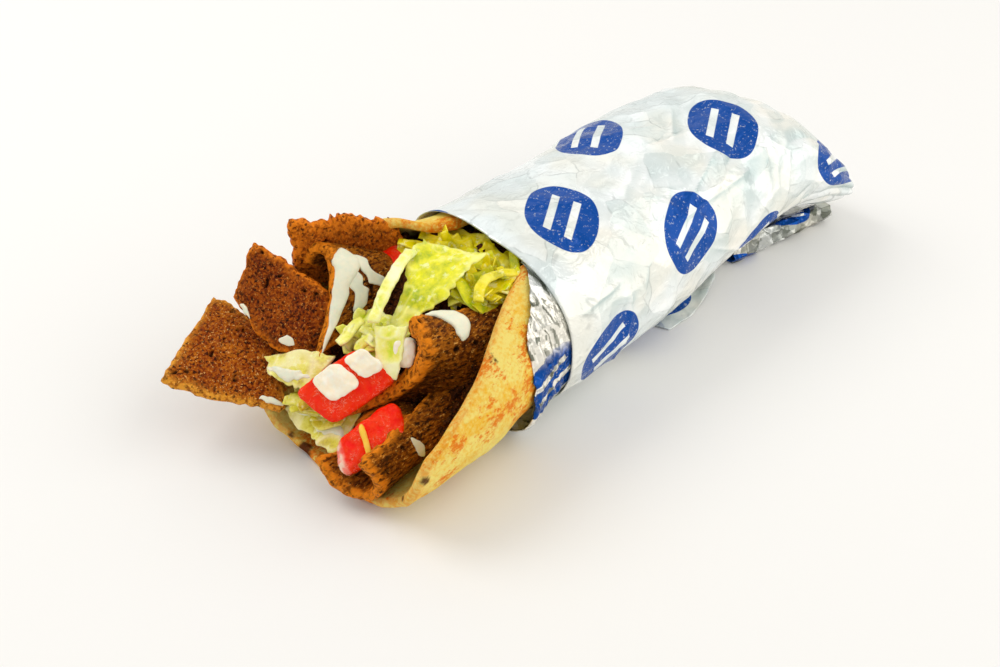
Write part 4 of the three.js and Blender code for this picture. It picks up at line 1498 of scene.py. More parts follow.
@dataclass(frozen=True)
class Sheet:
    """A slice or leaf between two edge curves, each with four control points."""

    near: Sequence[Point]
    far: Sequence[Point]
    thick: float
    rag: float
    wave: float = 0.0
    seed: int = 1
    frill: float = 0.0
    teeth: float = 0.0
    swell: float = 0.0

    @property
    def length(self) -> float:
        """The mean length of the two edges."""
        return (curve_length(self.near) + curve_length(self.far)) / 2

    @property
    def depth(self) -> float:
        """The distance between the middles of the two edges."""
        half = np.array([0.5])
        return float(np.linalg.norm(bezier(self.near, half) - bezier(self.far, half)))

    def border_rag(self, place: Array, row: float) -> Array:
        """How far a border wanders, in millimetres: large lumps and small crumbs.

        Args:
            place: Lengths along the border.
            row: Which border: 0 near, 1 far, 2 start, 3 end.

        Returns:
            Lengths.
        """
        line = stack(place, row * 37.0, 0.0)
        torn = self.teeth * (0.5 - np.abs(lumps(line, 2.4, self.seed + 2))) if row == 1.0 else 0.0
        return self.rag * (0.75 * lumps(line, 6.0, self.seed) + 0.45 * lumps(line, 1.5, self.seed + 1)) + torn

    def flat(self, u: Array, v: Array) -> Array:
        """The middle surface: straight lines from the near edge to the far edge, with ragged ends.

        Args:
            u: Shares of the way along.
            v: Shares of the way from the near edge to the far edge.

        Returns:
            The points.
        """
        near_rag = self.border_rag(u * self.length, 0.0)
        far_rag = self.border_rag(u * self.length, 1.0)
        across = mix(-near_rag / self.depth, 1 + far_rag / self.depth, v)
        start_rag = self.border_rag(v * self.depth, 2.0)
        end_rag = self.border_rag(v * self.depth, 3.0)
        along = mix(-start_rag / self.length, 1 + end_rag / self.length, u)
        return mix(bezier(self.near, along), bezier(self.far, along), across[..., None])

    def normal(self, u: Array, v: Array) -> Array:
        """The direction that the front faces: the cross product of two small steps.

        Args:
            u: Shares of the way along.
            v: Shares of the way from the near edge to the far edge.

        Returns:
            One direction for each place.
        """
        step = 0.01
        along = self.flat(u + step, v) - self.flat(u - step, v)
        across = self.flat(u, v + step) - self.flat(u, v - step)
        return unit(np.cross(along, across))

    def edge_closeness(self, u: Array, v: Array, reach: float) -> Array:
        """1 on the border, falling away inward to about a third at a reach in millimetres."""
        gaps = (np.minimum(a, 1 - a) * size for a, size in ((u, self.length), (v, self.depth)))
        return np.exp(-np.maximum(np.minimum(*gaps), 0.0) / reach)

    def face(self, u: Array, v: Array, side: Side) -> Array:
        """Points of one face: the middle surface, half the thickness and the waves.

        Args:
            u: Shares of the way along.
            v: Shares of the way from the near edge to the far edge.
            side: Which face.

        Returns:
            The points.
        """
        place = stack(u * self.length, v * self.depth, self.seed * 9.0)
        edge = self.edge_closeness(u, v, 3.0)
        sway = self.wave * (lumps(place, 9.0, self.seed + 5) + 0.5 * lumps(place, 4.0, self.seed + 6))
        sway = sway + self.frill * edge * lumps(place, 3.2, self.seed + 7)
        swollen = 1 - 0.25 * edge + self.swell * smooth(1 - v * self.depth / 6.0)
        half = side.value * self.thick / 2 * swollen
        return self.flat(u, v) + self.normal(u, v) * (half + sway)[..., None]

    def grid(self, cell: float) -> tuple[Array, Array]:
        """Shares u and v on a grid whose cells are about the given size, with at least 8 by 6 cells."""
        sizes = ((8, self.length), (6, self.depth))
        return shares(*(max(least, round(size / cell)) + 1 for least, size in sizes))

    def skin(self, cell: float, edge_reach: float, cut_reach: float = 0.0) -> Skin:
        """The closed plate, with how near each point is to the border.

        Args:
            cell: The size of the mesh's cells.
            edge_reach: How far in from the border the edge value reaches.
            cut_reach: How far in from the near edge it reaches, where that is further.

        Returns:
            The closed skin.
        """
        u, v = self.grid(cell)
        edge = self.edge_closeness(u, v, edge_reach)
        if cut_reach > 0:
            place = stack(u * self.length, v * self.depth, self.seed)
            reach = cut_reach * (1 + 0.6 * lumps(place, 2.5, self.seed + 9))
            edge = np.maximum(edge, smooth(1.3 - v * self.depth / reach))
        rim_rows = max(2, round(self.thick / cell))
        front, back = (self.face(u, v, side) for side in Side)
        return plate(front, back, rim_rows, self.thick * 0.16, edge)


def granulate(skin: Skin, seed: int, grain: float = 0.22, pit: float = 1.0) -> None:
    """Gives a meat skin its pressed-meat surface: small granules, with pits of two sizes between them.

    The height is fractal noise, less a smooth dip round some of many scattered spots, whose depth
    is that spot's own random number. The spots are drawn on a bent copy of space, so that they
    are uneven.

    Args:
        skin: The skin to change; its value "pit", painted shade for the pits, is set.
        seed: Picks the pattern.
        grain: How far granules stand out.
        pit: How deep the larger pits are.
    """
    bent = skin.points + 0.9 * lumps(skin.points, 1.7, seed + 3)[:, None]
    holes = []
    for spacing, least, width in ((3.4, 0.6, 0.3), (1.5, 0.55, 0.34)):
        near, owner = cell_distance(bent, spacing, seed + round(spacing * 10))
        holes.append(smooth((width * (0.6 + owner * 0.5) - near) / 0.16) * smooth((owner - least) / 0.25))
    height = grain * fractal(skin.points, 1.3, 3, seed + 7) + 0.4 * grain * lumps(skin.points, 5.0, seed + 9)
    skin.push(height - pit * holes[0] - 0.35 * pit * holes[1])
    skin.values["pit"] = np.clip(holes[0] + 0.7 * holes[1], 0, 1)


MEAT_SLICES = {
    "meat_slab_left": Sheet(
        near=((-85, 46, 24), (-78, 37, 21), (-70, 28, 17), (-63, 20, 14)),
        far=((-56, 58, 31), (-54, 51, 30), (-52, 43, 27), (-50, 36, 24)),
        thick=4.5, rag=1.0, seed=60,
    ),
    "meat_slab_middle": Sheet(
        near=((-54, 49, 36), (-56, 38, 31), (-58, 28, 26), (-46, 20, 26)),
        far=((-45, 50, 50), (-42, 42, 47), (-39, 33, 44), (-37, 24, 40)),
        thick=4.5, rag=1.0, seed=61,
    ),
    "meat_curl_sauced": Sheet(
        near=((-36, 38, 46), (-33, 36, 57), (-26, 27, 50), (-51, 17, 29.5)),
        far=((-20, 34, 34), (-14, 30, 46), (-8, 17, 42), (-29, 18, 33)),
        thick=4.0, rag=0.7, seed=62,
    ),
    "meat_curl_right": Sheet(
        near=((-53, 2, 21), (-34.5, -9.5, 26), (-36.5, -19.5, 44), (-35, -6.5, 46)),
        far=((-20, -10, 14), (-12, -31, 18), (-6, -30, 38), (0, -16, 39)),
        thick=4.6, rag=0.7, swell=0.5, seed=63,
    ),
    "meat_roll_front": Sheet(
        near=((-68, -2, 13), (-71, -10, 2), (-59, -28, 3), (-67, -19.5, 22)),
        far=((-34, -8, 8), (-27, -26, 6), (-22, -25, 24), (-30, -12, 22)),
        thick=4.0, rag=0.7, seed=64,
    ),
    "meat_fold_inner": Sheet(
        near=((-54, -3, 16.5), (-51, -5, 20.5), (-47, -8, 20.5), (-44, -11, 17.5)),
        far=((-38, 3, 14.5), (-35, 0, 18.5), (-32, -4, 18.5), (-28, -8, 15.5)),
        thick=4.0, rag=0.6, seed=65,
    ),
    "meat_slab_back": Sheet(
        near=((-37, 41, 38), (-26, 34, 35), (-17, 29, 34), (-8, 24, 33)),
        far=((-39, 39, 59), (-28, 36, 58), (-18, 32, 54), (-8, 27.5, 50)),
        thick=4.0, rag=1.2, teeth=4.2, seed=66,
    ),
}
CURLED = ("meat_curl_sauced", "meat_curl_right", "meat_roll_front", "meat_fold_inner")


@dataclass
class MeatSlices:
    """The visible slices of doner meat."""

    cell: float = 0.38
    edge_reach: float = 0.8
    torn_reach: float = 4.6
    cut_reach: float = 2.9

    def build(self, palette: Palette) -> None:
        """Makes every slice, with its granules and pits, and painted shade on the curled ones' downward
        faces.

        Args:
            palette: The materials by their use.
        """
        for node, sheet in MEAT_SLICES.items():
            curled = node in CURLED
            reach = self.torn_reach if sheet.teeth > 0 else self.edge_reach
            skin = sheet.skin(self.cell, reach, self.cut_reach if curled else 0.0)
            granulate(skin, sheet.seed)
            # painted shade: the curled slices darker where they face down
            down = smooth(0.35 - skin.normals()[:, 2]) if curled else np.zeros(len(skin.points))
            skin.values["char"] = down * (1 - skin.values["edge"])
            # the slices further back get the darker copy, which holds painted shade
            flat = palette["slab"] if node == "meat_slab_left" else palette["slab_browned_shaded"]
            add_piece(f"{node}_cut", skin, palette["crust"] if curled else flat, "meat", node)


class LeafKind(Enum):
    """How a leaf is coloured."""

    GREEN = "leaf"
    PALE = "leaf_pale"
    INNER = "leaf_shaded"
    SAUCED = "leaf_sauced"


LEAVES = {
    "lettuce_leaf_large": (LeafKind.GREEN, Sheet(
        near=((-4, -5, 52), (-18, -9, 52), (-27, -2, 44), (-37, -5, 37)),
        far=((-9, 14, 52), (-20, 12, 50), (-27, 3, 43), (-40, 1, 37)),
        thick=0.9, rag=1.4, wave=0.9, frill=0.7, seed=80,
    )),
    "lettuce_leaf_lower": (LeafKind.PALE, Sheet(
        near=((-33, -4, 43), (-37, -6, 39), (-40, -8, 35), (-43, -8, 31)),
        far=((-38, 4, 41), (-41, 2, 38), (-43, 0, 35), (-46, -3, 31)),
        thick=0.9, rag=0.9, wave=0.7, frill=0.4, seed=81,
    )),
    "lettuce_leaf_back": (LeafKind.INNER, Sheet(
        near=((-12, 18, 46), (-9, 8, 46), (-10, -6, 44), (-14, -15, 42)),
        far=((8, 24, 45), (9, 12, 47), (9, -2, 48), (4, -15, 45)),
        thick=0.8, rag=1.3, wave=1.2, frill=0.6, seed=82,
    )),
    "lettuce_leaf_small": (LeafKind.GREEN, Sheet(
        near=((-19, -6, 43), (-15, -9, 45), (-12, -12, 45), (-9, -15, 43)),
        far=((-14, 0, 44), (-10, -4, 47), (-7, -8, 47), (-4, -12, 45)),
        thick=0.8, rag=1.0, wave=0.9, frill=0.5, seed=83,
    )),
    "lettuce_leaf_pale": (LeafKind.PALE, Sheet(
        near=((-44, 20, 30), (-41, 14, 33), (-40, 8, 33), (-40, 3, 31)),
        far=((-32, 22, 34), (-29, 15, 38), (-29, 9, 38), (-31, 4, 36)),
        thick=0.9, rag=1.2, wave=1.0, frill=0.5, seed=84,
    )),
    "lettuce_leaf_left": (LeafKind.SAUCED, Sheet(
        near=((-60.5, 28, 23), (-60, 24, 23), (-58.8, 18, 23), (-58, 14, 23.5)),
        far=((-58, 32, 25), (-54, 25, 29), (-50, 18, 31), (-48, 12, 32)),
        thick=1.1, rag=1.0, wave=0.6, frill=0.4, seed=85,
    )),
    "lettuce_leaf_front": (LeafKind.SAUCED, Sheet(
        near=((-60, 22, 12), (-62, 14, 10), (-63, 6, 9), (-62, -3, 11)),
        far=((-55, 22, 18), (-52, 14, 20), (-50, 6, 20), (-50, 0, 19)),
        thick=1.1, rag=1.0, wave=0.8, frill=0.5, seed=86,
    )),
    "lettuce_stalk": (LeafKind.PALE, Sheet(
        near=((-15, 12, 51), (-24, 9.5, 50.5), (-31, 6.5, 48), (-38.5, 3.5, 43)),
        far=((-16, 15, 50.5), (-25, 12.5, 50), (-32, 9.5, 47.5), (-39.5, 6, 42.5)),
        thick=2.0, rag=0.4, wave=0.3, seed=87,
    )),
    "lettuce_rib": (LeafKind.INNER, Sheet(
        near=((-16, -13, 47), (-11, -8, 50), (-4, -8, 50), (3, -14, 48)),
        far=((-14.5, -15, 47), (-9.5, -10.5, 50), (-4.5, -10.5, 50), (1.5, -16, 47.5)),
        thick=1.8, rag=0.2, wave=0.0, seed=88,
    )),
}


@dataclass
class Lettuce:
    """The visible leaves of lettuce."""

    cell: float = 0.4
    vein_spacing: float = 4.2
    fine_vein: float = 0.11
    main_vein: float = 0.09

    def veins(self, sheet: Sheet, points: Array) -> Array:
        """Paler veins: thin lines where two crossing fields of slanting noise pass through zero.

        Args:
            sheet: The leaf, for its seed.
            points: The leaf's points.

        Returns:
            1 on a vein, 0 between them.
        """
        field_a = lumps(points, self.vein_spacing, sheet.seed + 20)
        field_b = lumps(points, self.vein_spacing * 2.2, sheet.seed + 21)
        fine = bell(field_a, 0.0, self.fine_vein)
        main = bell(field_b, 0.0, self.main_vein)
        return np.clip(0.6 * fine + main, 0, 1)

    def build(self, palette: Palette) -> None:
        """Makes every leaf, with raised veins.

        Args:
            palette: The materials by their use.
        """
        for node, (kind, sheet) in LEAVES.items():
            skin = sheet.skin(self.cell, 0.8)
            veins = self.veins(sheet, skin.points)
            skin.push(0.14 * veins + 0.34 * fractal(skin.points, 3.2, 3, sheet.seed + 22))
            skin.values["vein"] = veins
            add_piece(f"{node}_leaf", skin, palette[kind.value], "lettuce", node)


# ---------------- chunks


MOST_EDGE = 0.9  # the highest edge value of a chunk, so that some of its own colour shows everywhere


@dataclass(frozen=True)
class Chunk:
    """A chunk between an egg and a box: half axes u and v, and a thickness along their cross."""

    at: Point
    u: Point
    v: Point
    thick: float
    softness: float
    seed: int
    cells: int = 56
    pale_end: float = 0.0

    def skin(self, bump: float, ridge: float = 0.0) -> Skin:
        """The closed shape.

        A round ball's three coordinates are each raised to the softness, which flattens its sides,
        and scaled by the three half axes.

        Args:
            bump: How far the surface is uneven.
            ridge: How far fine flesh lines stand out.

        Returns:
            The closed skin, with edge values along its corners.
        """
        x, y = disc_grid(self.cells)
        x, y = x * 0.985, y * 0.985
        height = np.sqrt(np.maximum(1 - x * x - y * y, 1e-4))
        pale = smooth((self.pale_end - 1 - x) / 0.3) if self.pale_end > 0 else np.zeros_like(x)
        axis_u, axis_v = np.array(self.u, float), np.array(self.v, float)
        axis_w = unit(np.cross(axis_u, axis_v)) * self.thick / 2
        halves = []
        for sign in (1, -1):
            soft = [np.sign(a) * np.abs(a) ** self.softness for a in (x, y, sign * height)]
            offsets = (s[..., None] * axis for s, axis in zip(soft, (axis_u, axis_v, axis_w)))
            halves.append(np.array(self.at) + sum(offsets))
        powers = [np.abs(a) ** self.softness for a in (x, y, height)]
        corner = np.clip(sum(powers) - 2.2, 0, 1)
        skin = plate(halves[0], halves[1], 2, 0.0, corner * 1.3)
        skin.values["edge"] = np.clip(skin.values["edge"], 0, MOST_EDGE)
        rim = np.zeros(len(skin.points) - 2 * pale.size)
        skin.values["pale"] = np.concatenate([pale.ravel(), pale.ravel(), rim])
        lines = np.abs(lumps(skin.points * np.array([1.0, 1.0, 0.4]), 2.2, self.seed + 4))
        skin.push(bump * fractal(skin.points, 3.0, 3, self.seed) - ridge * bell(lines, 0.0, 0.1))
        return skin


CHUNKS = {
    "tomato_wedge_upper": Chunk((-52, 3, 27.5), (9, -4.4, 5.8), (1.6, -6.6, -3.6), 6, 0.32, 40),
    "tomato_wedge_lower": Chunk(
        (-56.5, -11.5, 19), (9.5, -3.4, 5), (-2, -4.4, -3.2), 5.5, 0.5, 41, pale_end=0.5,
    ),
    "tomato_piece_small": Chunk((-12, 24, 42), (5, -1, 1), (1, 5, 1), 4, 0.7, 42, cells=30),
    "onion_piece_inner": Chunk((-37.3, -6, 36.3), (1.4, 1, 4.2), (2, -2.6, 0.3), 3, 0.6, 43, cells=30),
}


@dataclass(frozen=True)
class Cut:
    """A thin cut that lies on a tomato wedge, placed along the wedge's own u and v."""

    wedge: str
    u: float
    v: float
    size: tuple[float, float]
    thick: float
    softness: float = 0.5
    sunk: float = 0.3

    def chunk(self, seed: int) -> Chunk:
        """The cut as a chunk: it lies on the wedge's upper face and leans as that does.

        Args:
            seed: Picks its bumps.

        Returns:
            The chunk.
        """
        wedge = CHUNKS[self.wedge]
        axis_u, axis_v = np.array(wedge.u, float), np.array(wedge.v, float)
        up = unit(np.cross(axis_u, axis_v))
        up = -up if up[2] < 0 else up
        raised = up * ((wedge.thick + self.thick) / 2 - self.sunk)
        at = np.array(wedge.at) + axis_u * self.u + axis_v * self.v + raised
        long, wide = unit(axis_u) * self.size[0], unit(axis_v) * self.size[1]
        return Chunk(tuple(at), tuple(long), tuple(wide), self.thick, self.softness, seed, cells=40)


CUTS = {
    "onion_piece_left": Cut("tomato_wedge_upper", -0.05, -0.35, (5.2, 5.0), 1.8),
    "onion_piece_right": Cut("tomato_wedge_upper", 0.78, -0.3, (3.4, 4.6), 1.8),
    "cheese_shred": Cut("tomato_wedge_lower", -0.1, 0.15, (1.0, 5.5), 1.6, 0.7),
}


class Vegetables:
    """The tomato pieces, and the onion and cheese that lie on them."""

    def build(self, palette: Palette) -> None:
        """Makes every chunk and cut.

        Args:
            palette: The materials by their use.
        """
        for node, chunk in CHUNKS.items():
            slot = node.split("_")[0]
            add_piece(f"{node}_flesh", chunk.skin(0.55, 0.14), palette[slot], slot, node)
        for number, (node, cut) in enumerate(CUTS.items()):
            slot = node.split("_")[0]
            skin = cut.chunk(50 + number).skin(0.8 if slot == "onion" else 0.3)
            add_piece(f"{node}_piece", skin, palette[slot], slot, node)


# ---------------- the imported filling


@dataclass(frozen=True)
class Heap:
    """Loose strips of one kind, with their usual length, width and thickness and how far their ends rise.

    They lie on the core within a span, given as the least and greatest x and how far round from the
    top, or else nearly level in a box, given as its middle and half its size.
    """

    use: str
    slot: str
    count: int
    size: Point
    curl: float
    seed: int
    span: tuple[float, float, float] = (0.0, 0.0, 0.0)
    box: tuple[Point, Point] | None = None
    scales: tuple[float, float] = (0.6, 1.25)
    curls: tuple[float, float] = (0.2, 1.3)
    upward: Point = (-0.25, -0.25, 1.0)
    lean: float = 0.35


def shreds(use: str, count: int, size: Point, curl: float, seed: int, *box: Point) -> Heap:
    """Shreds of lettuce that lie nearly level in a box, some of them curled down."""
    return Heap(use, "lettuce", count, size, curl, seed, box=box, scales=(0.6, 1.2), curls=(-0.6, 1.2))


HEAPS = {
    # the scraps share the filling's dark finish, which is painted shade
    "filling_scraps": Heap("core", "filling", 150, (11, 4.5, 1.8), 1.6, 5, (-44, 4, 0.5)),
    "filling_shreds": Heap("leaf_shaded", "lettuce", 130, (13, 4.0, 0.7), 2.6, 6, (-22, 6, 0.28)),
    "mouth_shreds": shreds("leaf_shaded", 80, (14, 4.6, 0.7), 3.0, 8, (-3, 3, 44), (10, 17, 2.2)),
    "mouth_shreds_fresh": shreds("leaf", 34, (11, 4.4, 0.7), 2.6, 9, (-6, -2, 44.5), (9, 12, 2)),
    "middle_shreds": shreds("leaf_pale", 30, (9, 4.2, 0.8), 1.6, 10, (-37.5, 9, 34), (6, 6, 2.2)),
    "front_shreds": shreds("leaf_sauced", 20, (8.5, 3.4, 0.8), 1.5, 11, (-57, 11, 18), (3, 8, 3)),
    "filling_crumbs": Heap("slab", "filling", 240, (1.8, 1.3, 0.9), 0.1, 7, (-47, -20, 0.5)),
}


@dataclass
class Filling:
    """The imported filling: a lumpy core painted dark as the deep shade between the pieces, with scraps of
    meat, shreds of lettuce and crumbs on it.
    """

    inset: float = 5.4
    front: float = -48.0
    back: float = 124.0
    front_top: float = 14.0
    narrowing: float = 0.62
    mouth_top: float = 45.0
    steepness: float = 1.35
    hollow: tuple[float, float, float, float] = (-30.0, -17.0, 13.0, 9.0)

    def ceiling(self, x: Array) -> Array:
        """Height of the core's upper surface: full inside the foil, falling away toward the lip."""
        fall = np.clip(x / self.front, 0, 1) ** self.steepness
        return mix(self.mouth_top, self.front_top, fall)

    def at(self, u: Array, v: Array) -> Array:
        """Points of the core: u goes round it from straight down, and v from its front to its back.

        Args:
            u: Shares of the way round.
            v: Shares of the way back.

        Returns:
            The points.
        """
        x = mix(self.front, self.back, v)
        _, top, bottom = ROLL.section(x, self.inset)
        middle = (top + bottom) / 2 - ROLL.sink
        ceiling = np.minimum(self.ceiling(x), top - 3.0)
        points = ROLL.at(x, (u * 2 - 1) * math.pi, self.inset)
        z = points[..., 2]
        squash = np.clip((ceiling - middle) / (top - middle), 0, 1)
        rounded = np.where(z <= middle, z, middle + (z - middle) * squash)
        points[..., 1] *= mix(1.0, self.narrowing, smooth(-x / 36))
        middle_x, middle_y, radius, depth = self.hollow
        away = np.hypot(x - middle_x, points[..., 1] - middle_y)
        lowered = ceiling - depth * bell(away, 0.0, radius)
        points[..., 2] = np.minimum(rounded, np.maximum(lowered, self.inset + 2.5))
        return points

    def core_skin(self) -> Skin:
        """The core, with lumps the size of the scraps that it is made of.

        Returns:
            The closed skin.
        """
        u, v = np.meshgrid(np.linspace(0, 1, 181)[:-1], np.linspace(0, 1, 190))
        skin = tube(self.at(u, v))
        near, owner = cell_distance(skin.points * np.array([0.7, 1.0, 1.0]), 5.0, 51)
        height = 1.6 * (0.6 - near) * owner + 0.5 * fractal(skin.points, 2.6, 3, 52)
        skin.push(np.where(skin.points[:, 2] > 8, height, np.minimum(height, 0)))
        return skin

    def on_top(self, draw: np.random.Generator, low: float, high: float, half: float) -> tuple[Array, Array]:
        """A random place on the core's upper side.

        Args:
            draw: The source of random numbers.
            low: The least x.
            high: The greatest x.
            half: How far to each side of the top it may lie, as a share of the way round.

        Returns:
            The point, and the direction straight out from it.
        """
        v = (draw.uniform(low, high) - self.front) / (self.back - self.front)
        u = 0.5 + draw.uniform(-half, half)
        u += 0.5 if u < 0 else 0.0
        turn = np.array([u + 0.0])
        here = self.at(turn, np.array([v]))[0]
        step = 0.004
        along = self.at(turn, np.array([v + step]))[0] - self.at(turn, np.array([v - step]))[0]
        across = self.at(turn + step, np.array([v]))[0] - self.at(turn - step, np.array([v]))[0]
        normal = unit(np.cross(along, across))
        return here, normal if normal[2] > 0 else -normal

    def strip(
        self, draw: np.random.Generator, here: Array, normal: Array, size: Point, curl: float
    ) -> Skin:
        """A small curved strip that lies on the core.

        Args:
            draw: The source of random numbers.
            here: The strip's middle.
            normal: The direction straight out from the core.
            size: Its length, width and thickness.
            curl: How far its ends rise.

        Returns:
            The strip's closed skin.
        """
        heading = unit(np.cross(normal, draw.normal(size=3)))
        beside = np.cross(normal, heading)
        u, v = np.meshgrid(np.linspace(-1, 1, 15), np.linspace(-1, 1, 6))
        bend = curl * u * u + 0.35 * curl * np.sin(3 * u + draw.uniform(0, 6))
        width = size[1] / 2 * (1 - 0.35 * u * u) * v + 0.25 * size[1] * np.sin(2.2 * u + draw.uniform(0, 6))
        middle = here + heading * (u * size[0] / 2)[..., None] + beside * width[..., None]
        middle = middle + normal * (bend + size[2] * 0.3)[..., None]
        half = normal * size[2] / 2
        return plate(middle + half, middle - half, 2, size[2] * 0.2)

    def scatter(self, heap: Heap) -> Skin:
        """Every strip of a heap in one skin.

        Args:
            heap: The strips, and where they lie.

        Returns:
            One skin.
        """
        draw = np.random.default_rng(heap.seed)
        whole = Skin()
        for _ in range(heap.count):
            if heap.box is None:
                here, normal = self.on_top(draw, *heap.span)
            else:
                middle, half = np.array(heap.box)
                here = middle + half * draw.uniform(-1, 1, size=3)
                normal = unit(np.array(heap.upward) + draw.normal(0, heap.lean, size=3))
            scaled = tuple(np.array(heap.size) * draw.uniform(*heap.scales, size=3))
            whole.join(self.strip(draw, here, normal, scaled, heap.curl * draw.uniform(*heap.curls)))
        return whole

    def build(self, palette: Palette) -> None:
        """Makes the core and what lies loose on it.

        Args:
            palette: The materials by their use.
        """
        core = self.core_skin()
        granulate(core, 53, 0.15, 0.4)
        add_piece("filling_core", core, palette["core"], "filling", "filling_heap")
        for name, heap in HEAPS.items():
            skin = self.scatter(heap)
            if name == "filling_scraps":
                granulate(skin, 54, 0.15, 0.3)
            add_piece(name, skin, palette[heap.use], heap.slot)


# ---------------- sauce


@dataclass(frozen=True)
class Ribbon:
    """A run of sauce on a slice or leaf, along a spine of places on it.

    Each station of the spine is the place along and across the sheet, as shares, and the run's half
    width there in millimetres.
    """

    sheet: Sheet
    side: Side
    spine: Sequence[tuple[float, float, float]]
    thick: float = 0.9
    ragged: float = 0.25
    seed: int = 1

    def stations(self, t: Array) -> tuple[Array, Array, Array]:
        """The spine's u, v and half width at shares of its length, on a smooth curve.

        The curve is a Catmull-Rom spline: each stretch leaves and arrives in the direction that
        joins its two neighbours.

        Args:
            t: Shares of the way along.

        Returns:
            Three arrays.
        """
        knots = np.array([self.spine[0], *self.spine, self.spine[-1]], float)
        place = np.clip(t, 0, 1) * (len(self.spine) - 1) * 0.9999
        index = np.floor(place).astype(int)
        s = (place - index)[..., None]
        a, b, c, d = (knots[index + i] for i in range(4))
        squared, cubed = 2 * a - 5 * b + 4 * c - d, 3 * b - 3 * c + d - a
        spun = 0.5 * (2 * b + (c - a) * s + squared * s**2 + cubed * s**3)
        return spun[..., 0], spun[..., 1], spun[..., 2]

    def skin(self) -> Skin:
        """The run: rounded on top, thickest along its spine, and set a little into the sheet.

        A round disc's x and y give the place along the spine and across it. The height over the
        sheet is the thickness times the root of 1 - r^4, with slow swells.

        Returns:
            The closed skin.
        """
        x, y = disc_grid(64)
        t = (x + 1) / 2
        u, v, half = self.stations(t)
        u_next, v_next, _ = self.stations(t + 0.02)
        u_last, v_last, _ = self.stations(t - 0.02)
        length, depth = self.sheet.length, self.sheet.depth
        along = stack((u_next - u_last) * length, (v_next - v_last) * depth)
        beside = unit(along)[..., ::-1] * np.array([-1.0, 1.0])
        line = stack(t * 9.0, np.sign(y) * 5.0, self.seed * 3.0)
        wobble = lumps(line, 2.6, self.seed) + 0.3 * lumps(line, 1.2, self.seed + 1)
        width = y * half * (1 + self.ragged * wobble)
        u = np.clip(u + beside[..., 0] * width / length, -0.03, 1.03)
        v = np.clip(v + beside[..., 1] * width / depth, -0.04, 1.04)
        base = self.sheet.face(u, v, self.side)
        out = self.sheet.normal(u, v) * self.side.value
        radius = np.sqrt(np.minimum(x * x + y * y, 1.0))
        height = self.thick * np.sqrt(1 - radius**4) * (0.8 + 0.35 * lumps(base, 3.0, self.seed + 2))
        return plate(base + out * (height + 0.1)[..., None], base - out * 0.4, 2, 0.1)


SAUCED = MEAT_SLICES["meat_curl_sauced"]
RIBBONS = {
    "sauce_streak": Ribbon(
        SAUCED, Side.FRONT,
        ((0.43, 0.22, 1.6), (0.49, 0.21, 3.4), (0.56, 0.21, 4.4), (0.64, 0.19, 3.6), (0.72, 0.15, 3.0),
         (0.8, 0.12, 3.0), (0.88, 0.09, 2.4), (0.95, 0.06, 1.8), (1.0, 0.05, 1.2)),
        0.8, 0.45, 3,
    ),
    "sauce_branch": Ribbon(
        SAUCED, Side.FRONT,
        ((0.6, 0.27, 1.4), (0.68, 0.32, 2.4), (0.76, 0.41, 1.9), (0.83, 0.5, 2.6), (0.88, 0.62, 1.0)),
        0.5, 0.75, 4,
    ),
    "sauce_drip": Ribbon(
        SAUCED, Side.FRONT,
        ((0.5, 0.34, 0.9), (0.57, 0.44, 1.7), (0.66, 0.56, 1.2), (0.74, 0.72, 1.9), (0.8, 0.92, 0.9)),
        0.45, 0.8, 5,
    ),
    "sauce_crescent": Ribbon(
        MEAT_SLICES["meat_curl_right"], Side.BACK,
        ((1.0, 0.12, 0.6), (0.99, 0.22, 1.6), (0.95, 0.32, 2.4), (0.88, 0.37, 2.6), (0.8, 0.36, 2.2),
         (0.75, 0.34, 1.2)),
        1.1, 0.12, 6,
    ),
    "sauce_spot": Ribbon(
        MEAT_SLICES["meat_roll_front"], Side.BACK,
        ((0.9, 0.43, 0.8), (0.82, 0.43, 1.5), (0.74, 0.44, 1.3), (0.66, 0.46, 0.7)),
        0.5, 0.5, 7,
    ),
    "sauce_fleck_high": Ribbon(
        MEAT_SLICES["meat_slab_middle"], Side.FRONT,
        ((0.1, 0.03, 0.6), (0.15, 0.06, 1.2), (0.2, 0.05, 0.9), (0.25, 0.03, 0.4)),
        0.6, 0.4, 8,
    ),
    "sauce_fleck_low": Ribbon(
        MEAT_SLICES["meat_slab_middle"], Side.FRONT,
        ((0.6, 0.1, 0.6), (0.66, 0.12, 1.5), (0.71, 0.13, 1.2), (0.75, 0.11, 0.5)),
        0.6, 0.5, 9,
    ),
    "sauce_on_slab": Ribbon(
        MEAT_SLICES["meat_slab_left"], Side.FRONT,
        ((0.78, 0.05, 0.5), (0.85, 0.06, 1.2), (0.93, 0.05, 1.0), (1.0, 0.05, 0.7)),
        0.7, 0.5, 10,
    ),
    "sauce_on_front_leaf": Ribbon(
        LEAVES["lettuce_leaf_front"][1], Side.FRONT,
        ((0.05, 0.5, 0.8), (0.2, 0.4, 2.0), (0.4, 0.55, 1.6), (0.6, 0.42, 2.4), (0.85, 0.4, 1.8),
         (1.0, 0.4, 0.8)),
        0.7, 0.9, 11,
    ),
    "sauce_on_left_leaf": Ribbon(
        LEAVES["lettuce_leaf_left"][1], Side.FRONT,
        ((0.02, 0.3, 1.4), (0.2, 0.28, 1.6), (0.45, 0.24, 1.5), (0.7, 0.3, 1.2), (0.9, 0.36, 0.7)),
        0.7, 0.6, 12,
    ),
}


class Sauce:
    """The white sauce on the meat and the lettuce."""

    def build(self, palette: Palette) -> None:
        """Makes every run of sauce."""
        for name, ribbon in RIBBONS.items():
            add_piece(name, ribbon.skin(), palette["sauce"], "filling")


# ---------------- table, light and camera


@dataclass(frozen=True)
class Lamp:
    """A square soft light: where it stands as seen from the sandwich, and its distance and side in metres."""

    direction: Point
    distance: float
    side: float
    watts: float
    tint: Point


